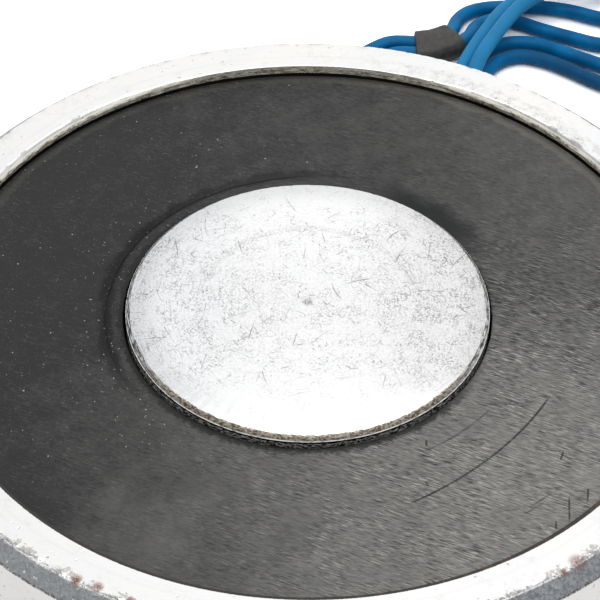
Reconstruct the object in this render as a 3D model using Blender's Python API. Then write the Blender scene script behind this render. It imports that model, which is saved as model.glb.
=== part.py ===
"""Round pot electromagnet for lifting and holding, lying on its back with the pole face up.

Metres, +Z up. The origin is the centre of the back face, which rests on z = 0. Seen from -Y, the
two leads leave the wall at the back, lie in a loose loop behind the pot and cross over themselves.
"""

import math

import bmesh
import bpy
from mathutils import Matrix, Vector

MM = 0.001
SEAT = 0.3 * MM  # clearance between pieces that touch

# Steel pot
MAGNET_DIAMETER = 80 * MM
MAGNET_HEIGHT = 38 * MM
WALL_THICKNESS = 5.2 * MM
BASE_THICKNESS = 8 * MM
RIM_CHAMFER = 1.5 * MM
BACK_CHAMFER = 1 * MM
MOUTH_BREAK = 0.25 * MM
FLOOR_FILLET = 1.2 * MM

# Pole core, pressed into the base by its spigot
POLE_SHARE = 0.425  # of the magnet's diameter
POLE_CHAMFER = 0.4 * MM
SPIGOT_DIAMETER = 20 * MM
SPIGOT_SETBACK = 0.3 * MM
TAP_DRILL = 6.8 * MM
TAP_DEPTH = 14 * MM
TAP_MOUTH_CHAMFER = 0.7 * MM
DRILL_POINT_ANGLE = math.radians(118)

# Bobbin
POLE_CREVICE = 0.4 * MM
BOBBIN_WALL = 1.6 * MM
FLANGE_THICKNESS = 1.6 * MM
FLANGE_BREAK = 0.3 * MM

# Winding and its tape
WIRING_SHARE = 0.41  # of the room between bobbin and wall, kept for the splices outside the tape
TAPE_THICKNESS = 0.4 * MM
WINDING_ROUND = 0.8 * MM

# Potting resin
RESIN_RECESS = 0.9 * MM  # below the pole face, at the bobbin
RESIN_DISH = 0.2 * MM  # further down, at the rim
RESIN_EDGE_DROP = 0.35 * MM
RESIN_EDGE_WIDTH = 1 * MM
RESIN_CAP = 1.8 * MM
RESIN_SKIRT = 1.2 * MM

# Way out for the leads
EXIT_AZIMUTH = math.radians(103)
EXIT_ABOVE_FLANGE = 4.1 * MM
GROMMET_DIAMETER = 6.2 * MM
GROMMET_STANDS_OUT = 1.2 * MM
GROMMET_RUNS_IN = 0.7 * MM

# Leads
LEAD_DIAMETER = 1.8 * MM
LEAD_PITCH = LEAD_DIAMETER + SEAT
LEAD_INNER_BEND = 2 * LEAD_DIAMETER
LEAD_STRAIGHT_OUT = 4.7 * MM
LEAD_STEP = 2 * LEAD_DIAMETER
TIP_DIAMETER = 1.0 * MM
TIP_LENGTH = 6 * MM

# Dark wrap round the two leads, bent to the left as they are
WRAP_LENGTH = 5.4 * MM
WRAP_THICKNESS = 0.35 * MM
WRAP_UNDERSIDE = 0.1 * MM
WRAP_BEND = 8.5 * MM
WRAP_START = (13.6 * MM, 82.5 * MM)
WRAP_AZIMUTH = math.radians(2)  # at its start

# Splices between the leads and the coil's tails
SPLICE_DIAMETER = 3.0 * MM
SPLICE_LENGTH = 11 * MM
SPLICE_LEAD_INSIDE = 3 * MM
SOLDER_DIAMETER = 1.4 * MM
SOLDER_LENGTH = 3 * MM
TAIL_DIAMETER = 0.5 * MM
TAIL_RUN = 6 * MM  # along the wiring circle, outside the splice
TAIL_TURN = 3 * MM
TAIL_STEP = 1.25 * MM
TAIL_SLEEVE_DIAMETER = 1.5 * MM
TAIL_SLEEVE_BORE = 1.1 * MM
POCKET_MARGIN = 3 * MM

# Smoothness of round pieces
POT_SEGMENTS = 112
COIL_SEGMENTS = 68
HOLE_SEGMENTS = 32
WIRE_SEGMENTS = 12
ROUNDING_STEPS = 4
DISH_STEPS = 2
BEND_STEPS = 4
SPLICE_STEPS = 6
POCKET_STEPS = 28
SMOOTH_STEPS = 16
SHARP_ANGLE = math.radians(30)

# Radii and heights that follow from the sizes above
pot_radius = MAGNET_DIAMETER / 2
cavity_radius = pot_radius - WALL_THICKNESS
pole_radius = pot_radius * POLE_SHARE
spigot_radius = SPIGOT_DIAMETER / 2
tube_bore_radius = pole_radius + POLE_CREVICE
tube_radius = tube_bore_radius + BOBBIN_WALL
tape_radius = cavity_radius - (cavity_radius - tube_radius) * WIRING_SHARE
winding_radius = tape_radius - TAPE_THICKNESS - SEAT
resin_radius = cavity_radius - SEAT
flange_radius = resin_radius - RESIN_SKIRT - SEAT

resin_top = MAGNET_HEIGHT - RESIN_RECESS
low_flange_z = BASE_THICKNESS + SEAT
winding_low_z = low_flange_z + FLANGE_THICKNESS + SEAT
high_flange_z = resin_top - RESIN_CAP - SEAT - FLANGE_THICKNESS
winding_high_z = high_flange_z - SEAT
exit_z = low_flange_z + FLANGE_THICKNESS + EXIT_ABOVE_FLANGE

# Directions at the lead exit
exit_out = Vector((math.cos(EXIT_AZIMUTH), math.sin(EXIT_AZIMUTH), 0))
exit_left = Vector((-math.sin(EXIT_AZIMUTH), math.cos(EXIT_AZIMUTH), 0))

# Circle that the splices lie on, outside the tape
wiring_radius = tape_radius + SEAT + SPLICE_DIAMETER / 2

# The wrap's bore, and the centre that it bends round
wrap_bore_radius = LEAD_DIAMETER / 2 + SEAT
wrap_start = Vector((*WRAP_START, wrap_bore_radius + WRAP_THICKNESS + WRAP_UNDERSIDE))
wrap_centre = wrap_start + Vector((-math.sin(WRAP_AZIMUTH), math.cos(WRAP_AZIMUTH), 0)) * WRAP_BEND

# Routes of the two leads outside the pot, in millimetres: from the wall to the wrap, then from the
# wrap in an arc to the right, round a fold, back along the near side, round a fold behind the pot,
# over themselves and out to the tips.
LEAD_A_TO_WRAP = [
    (-12.7, 50.6, 11.6),
    (-13.0, 54.6, 8.2),
    (-12.3, 58.9, 4.6),
    (-10.4, 63.1, 1.9),
    (-7.6, 67.4, 1.0),
    (-3.8, 71.7, 1.0),
    (0.2, 75.7, 1.0),
    (4.0, 79.4, 1.0),
    (7.4, 82.2, 1.1),
    (10.4, 83.7, 1.5),
]
LEAD_A_FROM_WRAP = [
    (18.6, 86.8, 1.5),
    (19.2, 88.8, 1.1),
    (20.6, 90.5, 1.0),
    (22.9, 91.4, 1.0),
    (26.0, 91.7, 1.0),
    (29.9, 91.7, 1.0),
    (33.5, 91.0, 1.0),
    (37.4, 89.5, 1.0),
    (43.0, 88.1, 1.0),
    (49.3, 87.7, 1.0),
    (55.0, 85.4, 1.0),
    (57.3, 79.4, 1.0),
    (55.0, 73.4, 1.0),
    (49.0, 71.0, 1.0),
    (42.4, 73.6, 1.0),
    (36.2, 76.8, 1.0),
    (32.4, 79.5, 1.0),
    (29.6, 81.1, 1.0),
    (26.8, 81.8, 1.0),
    (24.3, 80.9, 1.0),
    (22.2, 78.7, 1.0),
    (18.2, 75.0, 1.0),
    (12.0, 71.6, 1.0),
    (7.6, 68.4, 1.0),
    (5.3, 64.3, 1.0),
    (7.1, 60.5, 1.0),
    (10.8, 59.1, 1.0),
    (14.6, 61.0, 1.0),
    (15.8, 65.4, 1.25),
    (17.0, 70.6, 2.4),
    (19.3, 77.0, 3.3),
    (22.2, 83.3, 3.4),
    (25.0, 88.2, 3.35),
    (28.6, 92.0, 3.3),
    (33.4, 94.9, 2.6),
    (38.8, 96.5, 1.2),
    (44.0, 96.6, 1.0),
    (49.0, 95.0, 1.0),
]
LEAD_B_TO_WRAP = [
    (-10.5, 50.9, 11.6),
    (-10.8, 54.5, 8.2),
    (-10.2, 58.2, 4.6),
    (-8.4, 61.8, 1.9),
    (-5.8, 65.9, 1.0),
    (-2.2, 70.1, 1.0),
    (1.7, 74.1, 1.0),
    (5.4, 77.7, 1.0),
    (8.6, 80.4, 1.1),
    (11.0, 81.55, 1.5),
]
LEAD_B_FROM_WRAP = [
    (20.6, 85.2, 1.5),
    (21.3, 87.1, 1.1),
    (22.7, 88.6, 1.0),
    (24.8, 89.2, 1.0),
    (27.1, 88.5, 1.0),
    (29.6, 87.2, 1.0),
    (33.0, 85.7, 1.0),
    (37.0, 84.2, 1.0),
    (43.0, 83.9, 1.0),
    (49.0, 85.0, 1.0),
    (52.9, 83.3, 1.0),
    (54.5, 79.4, 1.0),
    (52.9, 75.5, 1.0),
    (49.0, 73.8, 1.0),
    (43.0, 76.6, 1.0),
    (36.6, 80.2, 1.0),
    (32.6, 82.4, 1.0),
    (29.6, 84.0, 1.0),
    (26.6, 84.5, 1.0),
    (23.8, 83.7, 1.0),
    (21.7, 81.5, 1.0),
    (19.6, 79.2, 1.0),
    (13.0, 74.7, 1.0),
    (6.0, 70.7, 1.0),
    (2.6, 64.3, 1.0),
    (4.7, 58.9, 1.0),
    (10.8, 56.3, 1.0),
    (16.9, 59.2, 1.0),
    (18.4, 64.6, 1.25),
    (19.2, 69.9, 2.6),
    (21.0, 76.0, 4.65),
    (24.0, 82.3, 4.85),
    (26.9, 87.0, 4.85),
    (30.4, 90.2, 4.7),
    (35.0, 92.6, 3.8),
    (39.4, 94.1, 1.9),
    (44.0, 94.3, 1.0),
    (49.0, 92.7, 1.0),
]


def clear_scene():
    """Removes what the startup file holds."""
    for obj in list(bpy.data.objects):
        bpy.data.objects.remove(obj)


def painted(obj, colour, roughness, metallic=0.0):
    """Gives an object its own Principled material."""
    material = bpy.data.materials.new(obj.name)
    material.use_nodes = True
    shader = material.node_tree.nodes["Principled BSDF"]
    shader.inputs["Base Color"].default_value = (*colour, 1)
    shader.inputs["Roughness"].default_value = roughness
    shader.inputs["Metallic"].default_value = metallic
    obj.data.materials.clear()
    obj.data.materials.append(material)
    return obj


def linked(name, data):
    """Puts new object data in the scene."""
    obj = bpy.data.objects.new(name, data)
    bpy.context.scene.collection.objects.link(obj)
    return obj


def mesh_object(name, bm):
    """Turns a bmesh into an object with outward faces and smooth round sides."""
    bmesh.ops.recalc_face_normals(bm, faces=bm.faces)
    mesh = bpy.data.meshes.new(name)
    bm.to_mesh(mesh)
    bm.free()
    mesh.shade_smooth()
    mesh.set_sharp_from_angle(angle=SHARP_ANGLE)
    return linked(name, mesh)


def turned(name, profile, segments):
    """Spins (radius, z) points round Z. A profile that starts and ends on the axis stays open."""
    bm = bmesh.new()
    verts = [bm.verts.new((radius, 0, z)) for radius, z in profile]
    edges = [bm.edges.new(pair) for pair in zip(verts, verts[1:])]
    if profile[0][0] > 0:
        edges.append(bm.edges.new((verts[-1], verts[0])))
    bmesh.ops.spin(
        bm,
        geom=verts + edges,
        axis=(0, 0, 1),
        cent=(0, 0, 0),
        steps=segments,
        angle=2 * math.pi,
        use_merge=True,
    )
    bmesh.ops.remove_doubles(bm, verts=bm.verts, dist=1e-7)
    return mesh_object(name, bm)


def cutter(obj):
    """Keeps a helper out of the model and shows it as wire."""
    obj.hide_render = True
    obj.display_type = "WIRE"
    return obj


def cut(obj, tool, label):
    """Takes one shape out of another."""
    modifier = obj.modifiers.new(label, "BOOLEAN")
    modifier.operation = "DIFFERENCE"
    modifier.solver = "EXACT"
    modifier.object = tool


def along_exit(obj, start):
    """Lays a shape that was built along +Z along the lead exit, from that radius outwards."""
    obj.matrix_world = (
        Matrix.Translation(exit_out * start + Vector((0, 0, exit_z)))
        @ Matrix((exit_left, (0, 0, 1), exit_out)).transposed().to_4x4()
    )
    return obj


def prism(name, outline, length):
    """Extrudes a closed outline of (x, y) points along +Z."""
    bm = bmesh.new()
    base = bm.faces.new([bm.verts.new((x, y, 0)) for x, y in outline])
    top = bmesh.ops.extrude_face_region(bm, geom=[base])["geom"]
    bmesh.ops.translate(bm, verts=[v for v in top if isinstance(v, bmesh.types.BMVert)], vec=(0, 0, length))
    return mesh_object(name, bm)


def circle_outline(radius, segments):
    """Points round a circle."""
    turns = [2 * math.pi * i / segments for i in range(segments)]
    return [(radius * math.cos(t), radius * math.sin(t)) for t in turns]


def stadium_outline(half_pitch, radius, segments):
    """Points round a slot with round ends, as wide as two leads side by side."""
    points = []
    for side in (1, -1):
        for i in range(segments + 1):
            t = side * (math.pi * i / segments - math.pi / 2)
            points.append((side * (half_pitch + radius * math.cos(t)), radius * math.sin(t)))
    return points


def tube(name, points, diameter):
    """A round wire along a line of points, as a bevelled curve with closed ends."""
    curve = bpy.data.curves.new(name, "CURVE")
    curve.dimensions = "3D"
    curve.bevel_depth = diameter / 2
    curve.bevel_resolution = 2
    curve.use_fill_caps = True
    spline = curve.splines.new("POLY")
    spline.points.add(len(points) - 1)
    for slot, point in zip(spline.points, points):
        slot.co = (*point, 1)
    return linked(name, curve)


def hollow(name, points, outside, inside):
    """A sleeve along a level line of points, with these (left, up) outlines."""
    bm = bmesh.new()
    outer = []
    inner = []
    for i, point in enumerate(points):
        ahead = points[min(i + 1, len(points) - 1)] - points[max(i - 1, 0)]
        left = Vector((0, 0, 1)).cross(ahead).normalized()
        outer.append([bm.verts.new(point + left * x + Vector((0, 0, y))) for x, y in outside])
        inner.append([bm.verts.new(point + left * x + Vector((0, 0, y))) for x, y in inside])
    pairs = list(zip(outer, outer[1:])) + list(zip(inner, inner[1:]))
    pairs += [(outer[0], inner[0]), (outer[-1], inner[-1])]
    for near, far in pairs:
        for i in range(len(outside)):
            after = (i + 1) % len(outside)
            bm.faces.new((near[i], near[after], far[after], far[i]))
    return mesh_object(name, bm)


def sleeve(name, points, diameter, bore):
    """A round sleeve along a level line of points."""
    outside = circle_outline(diameter / 2, WIRE_SEGMENTS)
    inside = circle_outline(bore / 2, WIRE_SEGMENTS)
    return hollow(name, points, outside, inside)


def smooth_line(points, step, before=None, after=None):
    """Points about one step apart on a centripetal Catmull-Rom curve through hand-chosen points.

    It leaves the first point away from the one named before, and comes in towards the one after.
    """
    line = [before or 2 * points[0] - points[1], *points, after or 2 * points[-1] - points[-2]]
    fine = []
    for p0, p1, p2, p3 in zip(line, line[1:], line[2:], line[3:]):
        t1 = (p1 - p0).length ** 0.5
        t2 = t1 + (p2 - p1).length ** 0.5
        t3 = t2 + (p3 - p2).length ** 0.5
        for i in range(SMOOTH_STEPS):
            t = t1 + (t2 - t1) * i / SMOOTH_STEPS
            a1 = p0.lerp(p1, t / t1)
            a2 = p1.lerp(p2, (t - t1) / (t2 - t1))
            a3 = p2.lerp(p3, (t - t2) / (t3 - t2))
            b1 = a1.lerp(a2, t / t2)
            b2 = a2.lerp(a3, (t - t1) / (t3 - t1))
            fine.append(b1.lerp(b2, (t - t1) / (t2 - t1)))
    fine.append(points[-1])
    along = [0.0]
    for a, b in zip(fine, fine[1:]):
        along.append(along[-1] + (b - a).length)
    count = max(2, round(along[-1] / step))
    spaced = []
    k = 0
    for i in range(count + 1):
        at = along[-1] * i / count
        while k < len(fine) - 2 and along[k + 1] < at:
            k += 1
        spaced.append(fine[k].lerp(fine[k + 1], (at - along[k]) / (along[k + 1] - along[k])))
    return spaced


def round_wire(azimuth, radius, z):
    """A point at this azimuth, radius and height."""
    return Vector((radius * math.cos(azimuth), radius * math.sin(azimuth), z))


def circle_arc(start, end, radius, z, count):
    """Points along a level arc round the axis."""
    return [round_wire(start + (end - start) * i / count, radius, z) for i in range(count + 1)]


def lead_turn_in(side):
    """Where the lead's inner bend leaves the wiring circle: its azimuth, and the bend's centre.

    side is 1 for the lead that runs to the left inside the pot, and -1 for the other one.
    """
    across = side * (LEAD_PITCH / 2 + LEAD_INNER_BEND)
    reach = wiring_radius + LEAD_INNER_BEND
    ahead = math.sqrt(reach**2 - across**2)
    return EXIT_AZIMUTH + math.atan2(across, ahead), exit_left * across + exit_out * ahead


def splice_start(side):
    """Azimuth of the splice sleeve's end that the lead goes into."""
    return lead_turn_in(side)[0] + side * LEAD_DIAMETER / wiring_radius


def splice_azimuth(side, along):
    """Azimuth of a point that far along the splice."""
    return splice_start(side) + side * along / wiring_radius


def lead_inner_points(side):
    """The lead from its soldered end, along the wiring circle, round its bend and out of the wall."""
    turn, centre = lead_turn_in(side)
    soldered = splice_azimuth(side, SPLICE_LEAD_INSIDE)
    points = circle_arc(soldered, turn, wiring_radius, exit_z, BEND_STEPS - 1)
    start = math.atan2(-math.sin(turn), -math.cos(turn))
    straight = math.atan2(-side * exit_left.y, -side * exit_left.x)
    sweep = (straight - start + math.pi) % (2 * math.pi) - math.pi
    for i in range(1, BEND_STEPS + 1):
        t = start + sweep * i / BEND_STEPS
        points.append(centre + Vector((math.cos(t), math.sin(t), 0)) * LEAD_INNER_BEND)
        points[-1].z = exit_z
    across = exit_left * side * LEAD_PITCH / 2
    for out in (GROMMET_STANDS_OUT, LEAD_STRAIGHT_OUT):
        points.append(exit_out * (pot_radius + out) + across + Vector((0, 0, exit_z)))
    return points


def wrap_arc(left):
    """Points along the wrap, that far to the left of its middle line."""
    points = []
    for i in range(BEND_STEPS + 1):
        azimuth = WRAP_AZIMUTH + WRAP_LENGTH / WRAP_BEND * i / BEND_STEPS
        out = Vector((math.sin(azimuth), -math.cos(azimuth), 0))
        points.append(wrap_centre + out * (WRAP_BEND - left))
    return points


def lead_line(side, to_wrap, from_wrap):
    """The whole centre line of one lead, with an arc through the wrap."""
    inner = lead_inner_points(side)
    held = wrap_arc(side * LEAD_PITCH / 2)
    reach = [Vector(point) * MM for point in to_wrap]
    leave = [Vector(point) * MM for point in from_wrap]
    first = smooth_line([*inner[-2:], *reach, held[0]], LEAD_STEP, after=held[1])
    second = smooth_line([held[-1], *leave], LEAD_STEP, before=held[-2])
    return inner[:-1] + first[1:] + held[1:-1] + second


def make_pot():
    """The turned steel cup, with a chamfered rim, a hole for the core's spigot and one for the leads."""
    hole_radius = spigot_radius + SEAT
    fillet_radius = cavity_radius - FLOOR_FILLET
    fillet_z = BASE_THICKNESS + FLOOR_FILLET
    fillet = []
    for i in range(ROUNDING_STEPS + 1):
        t = math.pi / 2 * i / ROUNDING_STEPS
        fillet.append((fillet_radius + FLOOR_FILLET * math.cos(t), fillet_z - FLOOR_FILLET * math.sin(t)))
    profile = [
        (hole_radius, 0),
        (pot_radius - BACK_CHAMFER, 0),
        (pot_radius, BACK_CHAMFER),
        (pot_radius, MAGNET_HEIGHT - RIM_CHAMFER),
        (pot_radius - RIM_CHAMFER, MAGNET_HEIGHT),
        (cavity_radius + MOUTH_BREAK, MAGNET_HEIGHT),
        (cavity_radius, MAGNET_HEIGHT - MOUTH_BREAK),
        *fillet,
        (hole_radius, BASE_THICKNESS),
    ]
    pot = turned("housing_pot", profile, POT_SEGMENTS)
    cut(pot, bpy.data.objects["lead_hole"], "lead hole")
    return painted(pot, (0.72, 0.72, 0.70), 0.35, 1.0)


def make_lead_hole():
    """The cutter for the round hole through the wall and the resin behind it."""
    start = flange_radius - RESIN_SKIRT
    length = pot_radius - start + GROMMET_DIAMETER
    outline = circle_outline(GROMMET_DIAMETER / 2 + SEAT, HOLE_SEGMENTS)
    return cutter(along_exit(prism("lead_hole", outline, length), start))


def make_core():
    """The round pole, with a spigot through the base and a blind tapped hole in its back."""
    bore = TAP_DRILL / 2
    tip = bore / math.tan(DRILL_POINT_ANGLE / 2)
    shoulder_z = BASE_THICKNESS + SEAT
    profile = [
        (0, MAGNET_HEIGHT),
        (pole_radius - POLE_CHAMFER, MAGNET_HEIGHT),
        (pole_radius, MAGNET_HEIGHT - POLE_CHAMFER),
        (pole_radius, shoulder_z),
        (spigot_radius, shoulder_z),
        (spigot_radius, SPIGOT_SETBACK),
        (bore + TAP_MOUTH_CHAMFER, SPIGOT_SETBACK),
        (bore, SPIGOT_SETBACK + TAP_MOUTH_CHAMFER),
        (bore, TAP_DEPTH),
        (0, TAP_DEPTH + tip),
    ]
    return painted(turned("pole_core", profile, COIL_SEGMENTS), (0.76, 0.77, 0.78), 0.3, 1.0)


def make_bobbin():
    """The moulded spool: a tube round the pole, with a flange at each end of the winding."""
    low_top = low_flange_z + FLANGE_THICKNESS
    high_top = high_flange_z + FLANGE_THICKNESS
    profile = [
        (tube_bore_radius, low_flange_z),
        (flange_radius - FLANGE_BREAK, low_flange_z),
        (flange_radius, low_flange_z + FLANGE_BREAK),
        (flange_radius, low_top - FLANGE_BREAK),
        (flange_radius - FLANGE_BREAK, low_top),
        (tube_radius, low_top),
        (tube_radius, high_flange_z),
        (flange_radius - FLANGE_BREAK, high_flange_z),
        (flange_radius, high_flange_z + FLANGE_BREAK),
        (flange_radius, high_top - FLANGE_BREAK),
        (flange_radius - FLANGE_BREAK, high_top),
        (tube_radius, high_top),
        (tube_radius, resin_top - FLANGE_BREAK),
        (tube_radius - FLANGE_BREAK, resin_top),
        (tube_bore_radius, resin_top),
    ]
    bobbin = turned("coil_bobbin", profile, COIL_SEGMENTS)
    slot_width = TAIL_SLEEVE_DIAMETER + 2 * SEAT
    inner = tube_radius + SEAT
    outline = [
        (inner, -slot_width / 2),
        (pot_radius, -slot_width / 2),
        (pot_radius, slot_width / 2),
        (inner, slot_width / 2),
    ]
    slot = cutter(prism("tail_slot", outline, 3 * FLANGE_THICKNESS))
    slot.location.z = low_flange_z - FLANGE_THICKNESS
    slot.rotation_euler.z = tail_azimuth(1)
    cut(bobbin, slot, "slot for the inner tail")
    return painted(bobbin, (0.03, 0.03, 0.03), 0.5)


def make_winding():
    """The wound copper wire, as one solid ring with rounded corners."""
    inner = tube_radius + SEAT
    profile = [
        (inner, winding_low_z),
        (winding_radius - WINDING_ROUND, winding_low_z),
        (winding_radius, winding_low_z + WINDING_ROUND),
        (winding_radius, winding_high_z - WINDING_ROUND),
        (winding_radius - WINDING_ROUND, winding_high_z),
        (inner, winding_high_z),
    ]
    return painted(turned("coil_winding", profile, COIL_SEGMENTS), (0.60, 0.27, 0.12), 0.35, 1.0)


def make_tape():
    """The insulating tape round the winding, with a small hole where the outer tail comes through."""
    inner = tape_radius - TAPE_THICKNESS
    profile = [
        (inner, winding_low_z),
        (tape_radius, winding_low_z),
        (tape_radius, winding_high_z),
        (inner, winding_high_z),
    ]
    tape = turned("winding_tape", profile, COIL_SEGMENTS)
    outline = circle_outline(TAIL_DIAMETER / 2 + SEAT, WIRE_SEGMENTS)
    hole = cutter(prism("tail_hole", outline, 4 * TAPE_THICKNESS))
    out = round_wire(tail_azimuth(-1), 1, 0)
    across = Vector((0, 0, 1)).cross(out)
    hole.matrix_world = (
        Matrix.Translation(out * (inner - TAPE_THICKNESS) + Vector((0, 0, exit_z)))
        @ Matrix((across, (0, 0, 1), out)).transposed().to_4x4()
    )
    cut(tape, hole, "hole for the outer tail")
    return painted(tape, (0.75, 0.62, 0.20), 0.5)


def make_resin():
    """The poured resin: the dished ring that shows, its skirt along the wall, and the splice pocket."""
    rim_z = resin_top - RESIN_DISH
    inner = tube_radius + SEAT
    over_flange = high_flange_z + FLANGE_THICKNESS + SEAT
    skirt_inner = flange_radius + SEAT
    inside = tape_radius + SEAT
    dish_start = inner + RESIN_EDGE_DROP
    dish_end = resin_radius - RESIN_EDGE_WIDTH
    surface = []
    for i in range(DISH_STEPS + 1):
        share = i / DISH_STEPS
        surface.append((dish_start + (dish_end - dish_start) * share, resin_top - RESIN_DISH * share**2))
    for i in range(1, DISH_STEPS + 1):
        t = math.pi / 2 * i / DISH_STEPS
        drop = RESIN_EDGE_DROP * (1 - math.cos(t))
        surface.append((dish_end + RESIN_EDGE_WIDTH * math.sin(t), rim_z - drop))
    profile = [
        (inner, over_flange),
        (skirt_inner, over_flange),
        (skirt_inner, winding_high_z),
        (inside, winding_high_z),
        (inside, winding_low_z),
        (skirt_inner, winding_low_z),
        (skirt_inner, BASE_THICKNESS + FLOOR_FILLET + SEAT),
        (resin_radius, BASE_THICKNESS + FLOOR_FILLET + SEAT),
        *reversed(surface),
        (inner, resin_top - RESIN_EDGE_DROP / 2),
    ]
    resin = turned("potting_resin", profile, COIL_SEGMENTS)
    cut(resin, make_splice_pocket(), "splice pocket")
    cut(resin, bpy.data.objects["lead_hole"], "lead hole")
    return painted(resin, (0.085, 0.085, 0.082), 0.5)


def make_splice_pocket():
    """The cutter for the room that the splices take in the resin."""
    low = low_flange_z + FLANGE_THICKNESS / 2
    high = exit_z + SPLICE_DIAMETER
    inner = tape_radius - TAPE_THICKNESS
    outer = wiring_radius + SPLICE_DIAMETER / 2 + SEAT
    ends = [tail_azimuth(side) + side * POCKET_MARGIN / wiring_radius for side in (-1, 1)]
    outline = circle_arc(*ends, outer, 0, POCKET_STEPS)
    outline += circle_arc(*reversed(ends), inner, 0, POCKET_STEPS)
    pocket = cutter(prism("splice_pocket", [point.xy for point in outline], high - low))
    pocket.location.z = low
    return pocket


def make_grommet():
    """The round bush in the wall, with a slot for the two leads side by side."""
    start = cavity_radius - GROMMET_RUNS_IN
    length = pot_radius + GROMMET_STANDS_OUT - start
    bush = prism("exit_grommet", circle_outline(GROMMET_DIAMETER / 2, HOLE_SEGMENTS), length)
    along_exit(bush, start)
    bore = stadium_outline(LEAD_PITCH / 2, LEAD_DIAMETER / 2 + SEAT, WIRE_SEGMENTS)
    slot = cutter(along_exit(prism("grommet_slot", bore, 3 * length), start - length))
    cut(bush, slot, "slot for the leads")
    return painted(bush, (0.02, 0.02, 0.02), 0.6)


def make_wrap():
    """The dark wrap that holds the two leads together."""
    outside = stadium_outline(LEAD_PITCH / 2, wrap_bore_radius + WRAP_THICKNESS, WIRE_SEGMENTS)
    inside = stadium_outline(LEAD_PITCH / 2, wrap_bore_radius, WIRE_SEGMENTS)
    return painted(hollow("lead_wrap", wrap_arc(0), outside, inside), (0.08, 0.07, 0.06), 0.6)


def tail_azimuth(side):
    """Azimuth where the coil's tail leaves the winding, past the end of its splice."""
    return splice_azimuth(side, SPLICE_LENGTH + TAIL_RUN + TAIL_TURN)


def tail_into_splice(side):
    """The tail's last stretch, along the wiring circle and into the sleeve as far as the solder."""
    soldered = splice_azimuth(side, SPLICE_LEAD_INSIDE + SEAT + SOLDER_LENGTH + SEAT)
    turn = splice_azimuth(side, SPLICE_LENGTH + TAIL_RUN)
    return circle_arc(turn, soldered, wiring_radius, exit_z, SPLICE_STEPS)


def make_outer_tail():
    """The winding's outer end: out through the tape, round, and in its sleeving along to its splice."""
    azimuth = tail_azimuth(-1)
    start = round_wire(azimuth, winding_radius + SEAT, exit_z)
    out = round_wire(azimuth, tape_radius + SEAT, exit_z)
    line = smooth_line([start, out, *tail_into_splice(-1)], TAIL_STEP)
    painted(tube("coil_tail_b", line, TAIL_DIAMETER), (0.62, 0.25, 0.10), 0.3, 1.0)
    ends = (splice_azimuth(-1, SPLICE_LENGTH + TAIL_RUN), splice_azimuth(-1, SPLICE_LENGTH + SEAT))
    make_tail_sleeve("b", circle_arc(*ends, wiring_radius, exit_z, BEND_STEPS))


def make_inner_tail():
    """The winding's inner end: out in its sleeving along the slot in the lower flange, up, and round."""
    azimuth = tail_azimuth(1)
    slot_z = low_flange_z + FLANGE_THICKNESS / 2
    start = tube_radius + TAIL_SLEEVE_DIAMETER
    line = [
        round_wire(azimuth, start, slot_z),
        round_wire(azimuth, (start + tape_radius) / 2, slot_z),
        round_wire(azimuth, tape_radius, slot_z),
        round_wire(azimuth, wiring_radius - TAIL_DIAMETER, (slot_z * 2 + exit_z) / 3),
        round_wire(azimuth - TAIL_TURN / 3 / wiring_radius, wiring_radius, (slot_z + exit_z * 5) / 6),
        *tail_into_splice(1),
    ]
    points = smooth_line(line, TAIL_STEP)
    painted(tube("coil_tail_a", points, TAIL_DIAMETER), (0.62, 0.25, 0.10), 0.3, 1.0)
    reach = (start + TAIL_DIAMETER, tape_radius - TAIL_DIAMETER)
    make_tail_sleeve("a", [round_wire(azimuth, radius, slot_z) for radius in reach])


def make_tail_sleeve(letter, line):
    """The woven sleeving over one of the winding's ends."""
    sleeving = sleeve(f"tail_sleeve_{letter}", line, TAIL_SLEEVE_DIAMETER, TAIL_SLEEVE_BORE)
    painted(sleeving, (0.80, 0.78, 0.70), 0.6)


def make_splice(side, letter):
    """The soldered joint between a lead and a tail, and the sleeve over it."""
    ends = (splice_azimuth(side, 0), splice_azimuth(side, SPLICE_LENGTH))
    line = circle_arc(*ends, wiring_radius, exit_z, SPLICE_STEPS)
    shrink = sleeve(f"splice_sleeve_{letter}", line, SPLICE_DIAMETER, LEAD_DIAMETER + 2 * SEAT)
    painted(shrink, (0.03, 0.03, 0.03), 0.5)
    start = splice_azimuth(side, SPLICE_LEAD_INSIDE + SEAT)
    end = splice_azimuth(side, SPLICE_LEAD_INSIDE + SEAT + SOLDER_LENGTH)
    line = circle_arc(start, end, wiring_radius, exit_z, SPLICE_STEPS // 2)
    painted(tube(f"solder_joint_{letter}", line, SOLDER_DIAMETER), (0.62, 0.62, 0.60), 0.3, 1.0)


def make_lead(side, letter, to_wrap, from_wrap):
    """One insulated lead and its tinned tip."""
    line = lead_line(side, to_wrap, from_wrap)
    painted(tube(f"lead_{letter}", line, LEAD_DIAMETER), (0.01, 0.14, 0.38), 0.35)
    ahead = (line[-1] - line[-2]).normalized()
    tip = [line[-1] + ahead * far for far in (SEAT, SEAT + TIP_LENGTH / 2, SEAT + TIP_LENGTH)]
    painted(tube(f"lead_tip_{letter}", tip, TIP_DIAMETER), (0.75, 0.74, 0.72), 0.35, 1.0)


def main():
    clear_scene()
    make_lead_hole()
    make_pot()
    make_core()
    make_bobbin()
    make_winding()
    make_tape()
    make_resin()
    make_grommet()
    make_outer_tail()
    make_inner_tail()
    make_splice(1, "a")
    make_splice(-1, "b")
    make_lead(1, "a", LEAD_A_TO_WRAP, LEAD_A_FROM_WRAP)
    make_lead(-1, "b", LEAD_B_TO_WRAP, LEAD_B_FROM_WRAP)
    make_wrap()


main()
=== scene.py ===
"""Looks of the round pot electromagnet: camera, leads, pot, pole, resin, light and floor."""

import math

import bmesh
import bpy
from mathutils import Matrix, Vector
from mathutils import noise as perlin


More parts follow.
